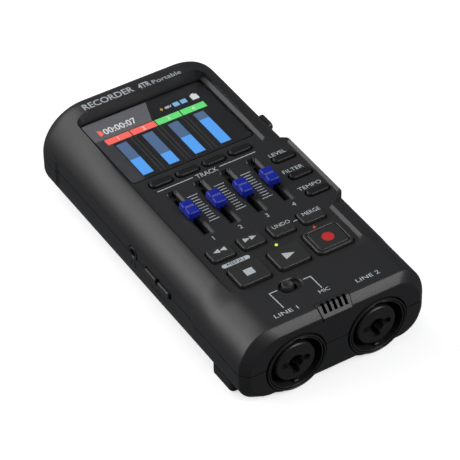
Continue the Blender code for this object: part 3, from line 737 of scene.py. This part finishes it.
# --- display -------------------------------------------------------------
SCREEN_Z = LEDGE_Z + 0.09
LEVEL_X, LEVEL_PITCH, LEVEL_W, LEVEL_LOW, LEVEL_HIGH = -19.8, 12.15, 4.8, 26.8, 48.8
LEVEL_TOPS = (37.5, 34.2, 38.5, 44.0)
TILE_X, TILE_PITCH, TILE_W, TILE_LOW, TILE_HIGH = -24.7, 11.85, 11.35, 50.5, 54.1
WHITE = {"material": UI["white"], "slot": "screen_white"}


def build_display():
    """Lens, the black mask with a painted reflection glowing under it, and what the screen shows.
    """
    w, d = plan("lcd_lens")
    at = spot("lcd_lens")
    lens = stack("Z", (w, d, 2.0), at, [(LENS_LOW.z, 0.0), (PANEL_Z - 0.15, 0.0), (PANEL_Z, -0.15)])
    finish(lens, "display_lens", LENS, replaces=["lcd_lens"])
    # The lens's side faces are painted black: painted shade, a dark line round the lens edge.
    repaint(lens, PAINTED_SHADE, lambda face: abs(face.normal.z) < 0.95)
    paint("lcd_module", PANELBACK)
    mask = rounded(w - 0.4, d - 0.4, 1.8, *at)
    # Painted reflection: glowing sheets under the lens, lighter at the upper left and down the left
    # margin, stand in for a light reflected in the lens.
    painted_reflection = [(-28.6, 66.3), (-28.6, 54.6), (-1.8, 54.6), (1.9, 66.3)]
    for name, outline, rise, material in (
        ("mask", mask, 0.03, PANELBACK), ("painted_reflection", painted_reflection, 0.06, UI["painted_reflection"]),
        ("painted_margin_reflection", rect(-28.6, -22.8, 23.8, 54.6), 0.06, UI["painted_margin_reflection"])):
        plates("screen_" + name, [outline], LEDGE_Z + rise, material, "display", thick=0.01)
    screen_levels()
    screen_tiles()
    screen_status()


def screen_levels():
    """Level bars, bright up to the level and dim above it, with lines between them."""
    bright, dim, lines = [], [], []
    for i, top in enumerate(LEVEL_TOPS):
        x = LEVEL_X + i * LEVEL_PITCH
        bright.append(rect(x - LEVEL_W / 2, x + LEVEL_W / 2, LEVEL_LOW, top))
        dim.append(rect(x - LEVEL_W / 2, x + LEVEL_W / 2, top, LEVEL_HIGH))
        if i:
            between = x - LEVEL_PITCH / 2
            lines += [rect(between + s - 0.12, between + s + 0.12, LEVEL_LOW - 1.2, TILE_LOW - 0.5)
                      for s in (-0.9, 0.9)]
    plates("screen_levels", bright, SCREEN_Z, UI["blue"], "screen_blue")
    plates("screen_faders", dim, SCREEN_Z, UI["dim"], "screen_dim")
    plates("screen_dividers", lines, SCREEN_Z, UI["line"], "screen_dim")


def screen_tiles():
    tiles = [rect(TILE_X + i * TILE_PITCH, TILE_X + i * TILE_PITCH + TILE_W, TILE_LOW, TILE_HIGH)
             for i in range(4)]
    plates("screen_tiles_armed", tiles[:2], SCREEN_Z, UI["red"], "screen_red")
    plates("screen_tiles_play", tiles[2:], SCREEN_Z, UI["green"], "screen_green")
    for i in range(4):
        centre = (TILE_X + i * TILE_PITCH + TILE_W / 2, (TILE_LOW + TILE_HIGH) / 2)
        lettering("screen_number_%d" % (i + 1), str(i + 1), centre, (0, 2.2), SCREEN_Z + 0.03,
                  **WHITE)


def screen_status():
    """Counter, record mark, and the battery, phantom power and port symbols."""
    lettering("screen_counter", "00:00:07", (-14.7, 58.7), (15.0, 3.7), SCREEN_Z, bold=0.012,
              **WHITE)
    plates("screen_record_mark", [disc(-24.5, 58.8, 1.9, 20, -90, 99)], SCREEN_Z, UI["red"],
           "screen_red")
    plates("screen_battery", [rect(19.2, 22.4, 56.9, 60.0), rect(20.1, 21.5, 60.0, 60.7)],
           SCREEN_Z, **WHITE)
    plates("screen_bolt", [[(4.4, 58.3), (5.2, 58.3), (4.9, 57.2), (5.7, 58.9), (5.0, 58.9),
                            (5.3, 60.0)]], SCREEN_Z, UI["yellow"], "screen_white")
    lettering("screen_phantom", "48V", (8.2, 58.6), (3.4, 1.5), SCREEN_Z, **WHITE)
    plates("screen_ports", [rect(10.6, 13.3, 57.2, 59.7), rect(14.2, 16.9, 57.2, 59.7)], SCREEN_Z,
           UI["cyan"], "screen_blue")


# --- keys ----------------------------------------------------------------
def key_levels(top, fillet):
    inner = PANEL_Z - WALL - GAP
    return ([(inner - 0.8, FLANGE - 0.1), (inner - 0.7, FLANGE), (inner - 0.1, FLANGE),
             (inner, FLANGE - 0.1), (inner, 0.0)] + soft_top(top, fillet))


def build_keys():
    for key in KEYS:
        size, at, top = key_size(key), spot(key), span(key)[1].z
        fillet = 0.9 if size[1] < 5 else 0.5
        cap = stack("Z", size, at, key_levels(top, fillet), 8)
        join(cap, bar("Z", at, 1.2, span(key)[0].z, PANEL_Z - WALL - GAP - 0.4, 16))
        finish(cap, key + "_cap", SOFTKEY if size[1] < 5 else KEYTOP, key, [key])
    key_prints()


def wedge(x, y, w, h, sign=1):
    """Triangle pointing along X."""
    return [(x - sign * w / 2, y - h / 2), (x + sign * w / 2, y), (x - sign * w / 2, y + h / 2)]


def key_prints():
    marks = {"stop_key": [rect(-2.0, 2.0, -1.6, 1.9)], "play_key": [wedge(0.2, 0.1, 4.8, 3.9)],
             "record_key": [disc(0, 0, 2.5, 48)]}
    for key, sign in (("rewind_key", -1), ("forward_key", 1)):
        marks[key] = [wedge(s * 1.45, 0.9, 2.8, 2.4, sign) for s in (-1, 1)]
    for key, outlines in marks.items():
        x, y = spot(key)
        red = key == "record_key"
        plates(key + "_mark", [[(x + u, y + v) for u, v in outline] for outline in outlines],
               span(key)[1].z, PRINT_RED if red else PRINT, "print_red" if red else "print", key)
    for key, words in (("undo_key", "UNDO"), ("bounce_key", "MERGE")):
        x, y = spot(key)
        lettering(key + "_mark", words, (x + 0.8, y + 1.3), (7.9, 2.0), span(key)[1].z, body=key)


def build_record_frame():
    low, high = span("record_key_frame")
    at = spot("record_key_frame")
    rim = stack("Z", (*plan("record_key_frame"), 2.6), at,
                [(low.z, 0.0)] + soft_top(high.z, 0.55), 8)
    opening = mouth("Z", grown(key_size("record_key"), GAP), at, 20, high.z, 0.2)
    finish(cut(rim, opening), "record_key_rim", KEYTOP, replaces=["record_key_frame"])


# --- faders --------------------------------------------------------------
def build_faders():
    for i, node_name in enumerate(FADERS):
        low, high = span(node_name)
        x, y = spot(node_name)
        half_d, half_w, base = (high.y - low.y) / 2, (high.x - low.x) / 2, 35.1
        rings = []
        steps = 44
        for k in range(steps + 1):
            t = -1 + 2 * k / steps
            end = max(0.0, abs(t) * half_d - (half_d - 0.9)) / 0.9
            draw = 0.9 * (1 - math.sqrt(max(0.0, 1 - end * end)))
            lobe = math.cos(math.pi * (abs(t) - 0.5))
            notch = 0.55 * math.exp(-((t * half_d) / 0.34) ** 2)
            top = high.z - 0.35 * (1 - lobe) - notch - 0.7 * draw
            half = half_w - 0.55 * draw - 0.04 * (1 - lobe)
            outline = filleted([(x - half + 0.15, base, 0.25), (x + half - 0.15, base, 0.25),
                                (x + half - 0.35, top, 0.7), (x - half + 0.35, top, 0.7)], 5)
            rings.append([(px, y + t * half_d, pz) for px, pz in outline])
        cap = loft(rings)
        join(cap, stack("Z", (1.4, 4.0, 0.2), (x, y), [(low.z, 0), (base + 0.6, 0)], 3))
        finish(cap, "fader_knob_%d" % (i + 1), FADER, node_name, [node_name], angle=50)


# --- small controls ------------------------------------------------------
def build_lamps():
    for led, material, slot in (("play_led", LED_GREEN, "led_green"),
                                ("record_led", LED_RED, "led_red")):
        at, top = spot(led), span(led)[1].z
        dome = lathe("Z", at, [(0, span(led)[0].z), (0.6, span(led)[0].z),
                               (0.6, top - 0.3), (0.5, top - 0.12), (0.3, top - 0.02),
                               (0, top)], 32)
        finish(dome, led + "_dome", material, replaces=[led])


def build_selector():
    low, high = span("input_select_knob")
    at = spot("input_select_knob")
    top = high.z
    knob = lathe("Z", at, [(0, PANEL_Z - 1.1), (2.3, PANEL_Z - 1.1), (2.5, PANEL_Z - 0.9),
                           (2.42, top - 0.5), (2.25, top - 0.15), (1.95, top),
                           (1.6, top - 0.05), (1.2, top - 0.32), (0, top - 0.42)], 64)
    join(knob, stack("Z", (2.0, 2.2, 0.3), at, [(low.z, 0), (PANEL_Z - 0.9, 0)], 3))
    finish(knob, "input_select_cap", KEYTOP, "input_select_knob", ["input_select_knob"])
    paint("input_select_switch", JACK)


def build_mic():
    grille = mic_wedge(MIC_PROFILE, 0.0)
    x = middle("mic_grille").x
    bevel = grille.modifiers.new("edge", "BEVEL")
    bevel.width, bevel.segments, bevel.limit_method = 0.22 * MM, 3, "ANGLE"
    bevel.angle_limit = math.radians(30)
    centres = [x + (k - 2) * MIC_PITCH for k in range(5)]
    half = MIC_SLOT_W / 2
    slots = [block(c - half, c + half, MIC_LIP_Y, -74.9, 30.6, 50) for c in centres]
    guard = finish(cut(merged([baked(grille)]), slots), "mic_guard", SHELL,
                   replaces=["mic_grille"])

    def in_slot(face):
        fx, fy, fz = face.center / MM
        return (min(abs(fx - c) for c in centres) < half + 0.01
                and MIC_LIP_Y - 0.01 < fy < -74.89 and 30.5 < fz < min(34.4, fy + 110.4))

    # The walls inside the microphone slots are painted black as the shade inside them.
    repaint(guard, PAINTED_SHADE, in_slot)
    paint("mic_capsule", METAL)


# --- input sockets -------------------------------------------------------
def build_jacks():
    for side in JACKS:
        body_node, insert_node = "input_jack_" + side, "jack_insert_" + side
        at = middle(insert_node)
        centre, front = (at.x, at.z), span(body_node)[0].y
        back = span(body_node)[1].y
        profile = [(13.1, FRONT_Y + 2.3), (13.1, front + 0.35), (13.0, front + 0.1),
                   (12.85, front), (12.65, front), (12.5, front + 0.1), (12.4, front + 0.3),
                   (12.4, front + 1.0), (12.1, front + 1.0), (12.1, front + 0.55),
                   (11.95, front + 0.38), (11.65, front + 0.38), (11.5, front + 0.5),
                   (11.5, front + 16.0), (9.15, front + 16.0), (9.15, back - 3.0), (5, back - 3.0),
                   (5, back), (12.55, back), (12.55, FRONT_Y + 2.3)]
        body = lathe("Y", centre, profile, 96)
        key = stack("Y", (3.6, 3.4, 0.5), (at.x, at.z + 10.7),
                    [(front - 1, 0.0), (front + 9.0, 0.0)], 4)
        cut(body, key)
        finish(body, "socket_" + side, JACK, replaces=[body_node])
        build_insert(side, insert_node, centre, front)


def build_insert(side, insert_node, centre, front):
    x, z = centre
    face, back = span(insert_node)[0].y, span(insert_node)[1].y
    profile = [(0, face), (7.9, face), (8.4, face + 0.12), (8.8, face + 0.6), (8.8, back),
               (0, back)]
    insert = lathe("Y", centre, profile, 72)
    plug = [bar("Y", centre, 3.4, -90, front + 21.0, 48)]
    pins = [(x - PIN_AT, z), (x + PIN_AT, z), (x, z - PIN_AT)]
    holes = [lathe("Y", p, [(0, -90), (1.85, -90), (1.85, face - 0.2), (1.55, face + 0.4),
                            (1.55, front + 15.0), (0, front + 15.0)], 32) for p in pins]
    depth = [(-90, 0), (face + 5.0, 0)]
    webs = [stack("Y", (2.2 * PIN_AT, 2.3, 0.1), (x, z), depth, 2),
            stack("Y", (2.3, PIN_AT, 0.1), (x, z - PIN_AT / 2), depth, 2)]
    for group in (plug, holes, webs[:1], webs[1:]):
        cut(insert, group)
    finish(insert, "socket_insert_" + side, INSERT, replaces=[insert_node])
    contacts = [lathe("Y", p, [(0.7, face + 5.5), (1.2, face + 5.5),
                               (1.2, face + 12.0), (0.7, face + 12.0)], 24) for p in pins]
    finish(merged(contacts), "socket_contacts_" + side, METAL)
    tongue = stack("Y", (1.9, 0.9, 0.3), (x + 0.5, z - 10.3),
                   [(face + 0.4, -0.15), (face + 0.7, 0), (face + 7, 0)], 4)
    finish(tongue, "socket_latch_" + side, METAL)


# --- side controls -------------------------------------------------------
def on_left_side(piece, y, z):
    """Stand a flat piece made round the origin up on the recess of the left side."""
    plane = -HALF_W + SIDE_RECESS[4]
    for v in piece.data.vertices:
        u, w, out = v.co / MM
        v.co = Vector((plane - out, y - u, z + w)) * MM
    piece.data.update()
    return piece


def side_marks():
    at = middle("headphone_jack")
    band = disc(0, 0, 1.65, 16, 0, 190)[:-1] + disc(0, 0, 1.25, 16, 0, 190)[:-1][::-1]
    cups = [rect(-1.9, -1.0, -1.5, 0.1), rect(1.0, 1.9, -1.5, 0.1)]
    dash = rect(-0.9, 0.9, -0.18, 0.18)
    stems = [rect(-0.18, 0.18, 0.18, 0.9), rect(-0.18, 0.18, -0.9, -0.18)]
    up, down = middle("volume_up_key"), middle("volume_down_key")
    low = up.z - 5.4
    # The headphone and volume marks are flat plates painted with the shade of an engraving.
    for name, outlines, y, z in (("headphone", [band] + cups, at.y, at.z - 5.6),
                                 ("volume_plus", [dash] + stems, up.y, low),
                                 ("volume_minus", [dash], down.y, low)):
        on_left_side(plates(name + "_mark", outlines, 0.0, ENGRAVING_SHADE, "case"), y, z)
    on_left_side(lettering("volume_mark", "VOL", (0, 0), (0, 1.9), 0.0, ENGRAVING_SHADE, slot="case"),
                 (up.y + down.y) / 2, low)


def build_left_side():
    at = middle("headphone_jack")
    low, high = span("headphone_jack")
    ring = lathe("X", (at.y, at.z),
                 [(1.85, -28.5), (1.85, low.x + 0.5), (2.15, low.x + 0.1), (2.5, low.x),
                  (2.85, low.x + 0.15), (3.0, low.x + 0.5), (3.0, high.x), (1.0, high.x),
                  (1.0, -28.5)], 64)
    finish(ring, "headphone_socket", JACK, replaces=["headphone_jack"])
    side_marks()
    for key in ("volume_up_key", "volume_down_key"):
        at = middle(key)
        levels = [(-37.0, 0), (-38.5, 0), (-38.5, 0.35), (-39.3, 0.35), (-39.3, 0)]
        levels += [(-out, grow) for out, grow in soft_top(-span(key)[0].x, 0.5)]
        cap = stack("X", (*SIDE_KEY, 0.9), (at.y, at.z), levels, 8)
        finish(cap, key + "_cap", KEYTOP, key, [key])


def build_card_flap():
    low, high = span("card_slot_cover")
    at = middle("card_slot_cover")
    cover = stack("X", (high.y - low.y, high.z - low.z, 1.25), (at.y, at.z),
                  [(low.x, 0), (high.x - 0.2, 0), (high.x, -0.2)], 8)
    nick = stack("X", (3.0, 0.7, 0.3), (at.y, at.z + 0.6), [(high.x - 0.35, 0), (60, 0)])
    finish(cut(cover, nick), "card_flap", KEYTOP, "card_slot_cover", ["card_slot_cover"])
    paint("card_socket", METAL)


def build_usb_port():
    paint("usb_port", METAL)
    low, high = span("usb_port")
    at = middle("usb_port")
    tongue = stack("Y", (6.4, 0.7, 0.3), (at.x, at.z), [(low.y + 1.0, 0), (high.y - 1.2, 0)], 4)
    finish(tongue, "usb_tongue", JACK)


def build_power_switch():
    low, high = span("power_switch")
    y, z = middle("power_switch").y, POWER_Z
    knob = stack("X", (8.6, 3.6, 1.7), (y, z), [(40.2, 0)] + soft_top(high.x, 0.5), 8)
    teeth = [block(41.75, 60, y + k * 1.5 - 0.3, y + k * 1.5 + 0.3, 20, 32)
             for k in (-2, -1, 0, 1, 2)]
    cut(knob, teeth, case_solid(-0.5, None, False))
    join(knob, stack("X", (4.6, 1.7, 0.8), (y, z), [(low.x, 0), (41.0, 0)], 4))
    finish(knob, "power_slider", KEYTOP, "power_switch", ["power_switch"])


# --- underside -----------------------------------------------------------
def build_battery_hatch():
    low, high = span("battery_door")
    door = stack("Z", (*plan("battery_door"), 1.0), spot("battery_door"),
                 [(low.z, -0.25), (low.z + 0.25, 0), (high.z, 0)], 6)
    ribs = [stack("Z", (24.0, 0.8, 0.39), (0, high.y - 5.6 - k * 1.6),
                  [(1.0, 0.2), (low.z, 0.12), (low.z + 0.4, -0.1)], 4) for k in range(4)]
    outline = ((-2.4, high.y - 17.0), (2.4, high.y - 17.0), (0, high.y - 13.4))
    arrow = loft([[(x, y, z) for x, y in outline] for z in (1.0, low.z + 0.3)])
    cut(door, ribs, arrow)
    finish(door, "battery_hatch", SHELL, "battery_door", ["battery_door"])


def build_screws():
    for screw in SCREWS:
        low, high = span(screw)
        at = spot(screw)
        solid = lathe("Z", at, [(0, low.z), (1.7, low.z), (2.1, low.z + 0.25),
                                (2.2, low.z + 0.7), (2.2, low.z + 1.5),
                                (1.05, low.z + 1.6), (1.05, high.z - 1.0),
                                (0.3, high.z), (0, high.z)], 32)
        for w, d in ((2.6, 0.55), (0.55, 2.6)):
            cut(solid, stack("Z", (w, d, 0.2), at, [(low.z - 1, 0.1), (low.z + 0.9, -0.1)], 2))
        finish(solid, screw + "_head", STEEL, replaces=[screw])


def build_feet():
    for foot in FEET:
        bottom = [(0.9 * (1 - math.sin(a)), -0.9 * (1 - math.cos(a))) for a in reversed(quarter(4))]
        pad = stack("Z", (*plan(foot), 2.0), spot(foot), bottom + [(span(foot)[1].z, 0)], 8)
        cut(pad, case_solid(-GAP))
        finish(pad, foot + "_pad", RUBBER, replaces=[foot])


def build_battery(cell, front_tip):
    """Wrapped cell with a copper band at the end that has the tip."""
    low, high = span(cell)
    at = middle(cell)
    y0, y1 = low.y + (0.6 if front_tip else 0.0), high.y - (0.0 if front_tip else 0.6)
    r = (high.x - low.x) / 2
    profile = [(0, y0), (r - 0.9, y0), (r - 0.3, y0 + 0.15), (r, y0 + 0.6), (r, y1 - 0.6),
               (r - 0.3, y1 - 0.15), (r - 0.9, y1), (0, y1)]
    body = lathe("Y", (at.x, at.z), profile, 48)
    tip = (low.y, y0 + 0.5) if front_tip else (y1 - 0.5, high.y)
    join(body, bar("Y", (at.x, at.z), 2.6, *tip, 32))
    finish(body, cell + "_cell", WRAP, replaces=[cell])

    def copper(face):
        y = face.center.y / MM
        share = (y - y0 if front_tip else y1 - y) / (y1 - y0)
        return share < 0.28 or y < y0 + 0.2 or y > y1 - 0.2

    repaint(body, WRAP_END, copper)


def build_batteries():
    for n in range(1, 5):
        build_battery("battery_%d" % n, n % 2 == 0)


def paint_inside():
    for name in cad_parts:
        if name.startswith("fader_unit"):
            paint(name, JACK)
        elif name.endswith("_board"):
            paint(name, BOARD)


# --- print on the case ---------------------------------------------------
def build_prints():
    z = PANEL_Z
    for name, words, centre, size in (("track", "TRACK", (-0.7, 13.5), (9.8, 2.5)),
                                      ("input_key", "LEVEL", (29.3, 8.5), (7.6, 2.0)),
                                      ("effect_key", "FILTER", (29.3, -3.1), (9.2, 2.0)),
                                      ("rhythm_key", "TEMPO", (29.4, -15.1), (10.6, 2.0)),
                                      ("in_1", "LINE 1", (-17.8, -71.5), (10.4, 1.9)),
                                      ("mic", "MIC", (0.8, -69.1), (4.6, 1.8)),
                                      ("in_2", "LINE 2", (18.9, -71.6), (10.4, 1.9))):
        lettering("label_" + name, words, centre, size, z)
    plates("rule_track", [rect(-23.2, -6.9, 13.85, 14.25), rect(5.6, 22.5, 13.85, 14.25)], z)
    fader_scale()
    plates("rule_undo_mix", [rect(12.3, 14.1, -30.05, -29.65)], z)
    plates("label_menu_box", [rounded(12.4, 2.1, 1.04, -18.9, -37.5)], z)
    lettering("label_menu", "MENU", (-18.9, -37.5), (7.6, 1.5), z + 0.03, SHELL, slot="case")
    for k, points in enumerate(([(-14.5, -59.7), (-17.8, -59.6), (-17.4, -68.8)],
                                [(-2.5, -59.8), (0.6, -59.8), (0.8, -67.2)])):
        for j, outline in enumerate(stroke(points, 0.42)):
            plates("bracket_%d_%d" % (k + 1, j + 1), [outline], z - 0.02 + 0.002 * j)
    top = crown(70, REAR_STATIONS)[0] - 0.01
    lettering("title_recorder", "RECORDER", (-13.2, 70.3), (23.4, 3.7), top, bold=0.012)
    lettering("title_tracks", "4TR", (3.6, 69.9), (5.4, 3.3), top, bold=0.02)
    lettering("title_kind", "Portable", (14.0, 69.4), (13.4, 2.5), top)


def fader_scale():
    """Ticks between the faders, and the number under each."""
    xs = [middle(n).x for n in FADERS]
    ticks = []
    for a, b in zip(xs, xs[1:]):
        for k in range(11):
            x, y, half = (a + b) / 2, 4.7 - k * 1.66, 2.3 if k % 5 == 0 else 1.6
            ticks.append(rect(x - half, x + half, y - 0.17, y + 0.17))
    plates("fader_scale", ticks, PANEL_Z)
    for i, x in enumerate(xs):
        lettering("label_number_%d" % (i + 1), str(i + 1), (x + 0.1, -21.2), (0, 2.2), PANEL_Z)


# --- studio --------------------------------------------------------------
CAMERA_AT = Vector((-0.40717, -0.67782, 0.71500))
CAMERA_RIGHT = Vector((0.8492, -0.5279, -0.0155))
CAMERA_UP = Vector((0.3602, 0.5575, 0.7479))


def build_camera():
    data = bpy.data.cameras.new("camera")
    data.lens, data.sensor_width = 206.57, 36.0
    data.clip_start, data.clip_end = 0.05, 20.0
    camera = new_object("camera", data)
    back = CAMERA_RIGHT.cross(CAMERA_UP)
    camera.matrix_world = Matrix(((CAMERA_RIGHT.x, CAMERA_UP.x, back.x, CAMERA_AT.x),
        (CAMERA_RIGHT.y, CAMERA_UP.y, back.y, CAMERA_AT.y),
        (CAMERA_RIGHT.z, CAMERA_UP.z, back.z, CAMERA_AT.z), (0, 0, 0, 1)))
    bpy.context.scene.camera = camera


def softbox(name, direction, distance, size, radiance):
    """Rectangular soft light seen from the object along a direction."""
    data = bpy.data.lights.new(name, "AREA")
    data.shape = "RECTANGLE"
    data.size, data.size_y = size
    data.energy = radiance * math.pi * size[0] * size[1]
    lamp = new_object(name, data)
    way = Vector(direction).normalized()
    lamp.location = Vector((0, 0, 0.02)) + way * distance
    lamp.rotation_mode = "QUATERNION"
    lamp.rotation_quaternion = way.to_track_quat("Z", "Y")


def paper():
    """White paper that is clear from behind, so that a low camera sees through the floor."""
    mat = bpy.data.materials.new("floor_paper")
    mat.use_nodes = True
    tree = mat.node_tree
    shader = tree.nodes["Principled BSDF"]
    for socket, value in (("Base Color", (0.80, 0.80, 0.80, 1)), ("Roughness", 0.9),
                          ("Specular IOR Level", 0.1), ("Emission Color", (1, 1, 1, 1)),
                          ("Emission Strength", 0.6)):
        shader.inputs[socket].default_value = value
    side = tree.nodes.new("ShaderNodeNewGeometry")
    clear = tree.nodes.new("ShaderNodeBsdfTransparent")
    mix = tree.nodes.new("ShaderNodeMixShader")
    tree.links.new(side.outputs["Backfacing"], mix.inputs[0])
    tree.links.new(shader.outputs[0], mix.inputs[1])
    tree.links.new(clear.outputs[0], mix.inputs[2])
    tree.links.new(mix.outputs[0], tree.nodes["Material Output"].inputs["Surface"])
    return mat


def build_stage():
    """Pale floor that curves up into a wall all round."""
    flat, rise, sides = 1.5, 0.9, 96
    profile = [(0.0, 0.0), (0.6, 0.0), (flat, 0.0)]
    profile += [(flat + rise * math.sin(a), rise * (1 - math.cos(a))) for a in quarter(10)[1:]]
    profile += [(flat + rise, 3.0)]
    bm = bmesh.new()
    rows = [[bm.verts.new((r * math.cos(2 * math.pi * k / sides),
                           r * math.sin(2 * math.pi * k / sides), z)) for r, z in profile]
            for k in range(sides)]
    for k in range(sides):
        here, after = rows[k], rows[(k + 1) % sides]
        for i in range(len(profile) - 1):
            bm.faces.new((here[i], here[i + 1], after[i + 1], after[i]))
    bmesh.ops.remove_doubles(bm, verts=bm.verts, dist=1e-6)
    mesh = bpy.data.meshes.new("floor")
    bm.to_mesh(mesh)
    bm.free()
    floor = new_object("floor", mesh)
    floor.data.shade_smooth()
    mesh.materials.append(paper())
    floor.visible_diffuse = floor.visible_glossy = floor.visible_transmission = False


def build_studio():
    build_stage()
    world = bpy.data.worlds.new("studio")
    bpy.context.scene.world = world
    world.use_nodes = True
    ground = world.node_tree.nodes["Background"]
    ground.inputs["Color"].default_value = (0.93, 0.96, 1.0, 1)
    ground.inputs["Strength"].default_value = 0.10
    softbox("key_rear_left", (-0.42, 0.66, 0.62), 1.5, (1.5, 1.0), 2.45)
    softbox("front_right", (0.39, -0.66, 0.64), 1.4, (0.8, 0.6), 6.0)
    softbox("overhead", (0.0, 0.0, 1.0), 1.6, (0.9, 0.9), 0.8)
    softbox("left", (-0.86, 0.38, 0.3), 1.5, (1.0, 0.8), 3.6)
    bpy.context.scene.view_settings.view_transform = "Standard"


build_case()
build_display()
build_keys()
build_record_frame()
build_faders()
build_lamps()
build_selector()
build_mic()
build_jacks()
build_left_side()
build_power_switch()
build_card_flap()
build_usb_port()
build_battery_hatch()
build_screws()
build_feet()
build_batteries()
paint_inside()
build_prints()
build_camera()
build_studio()
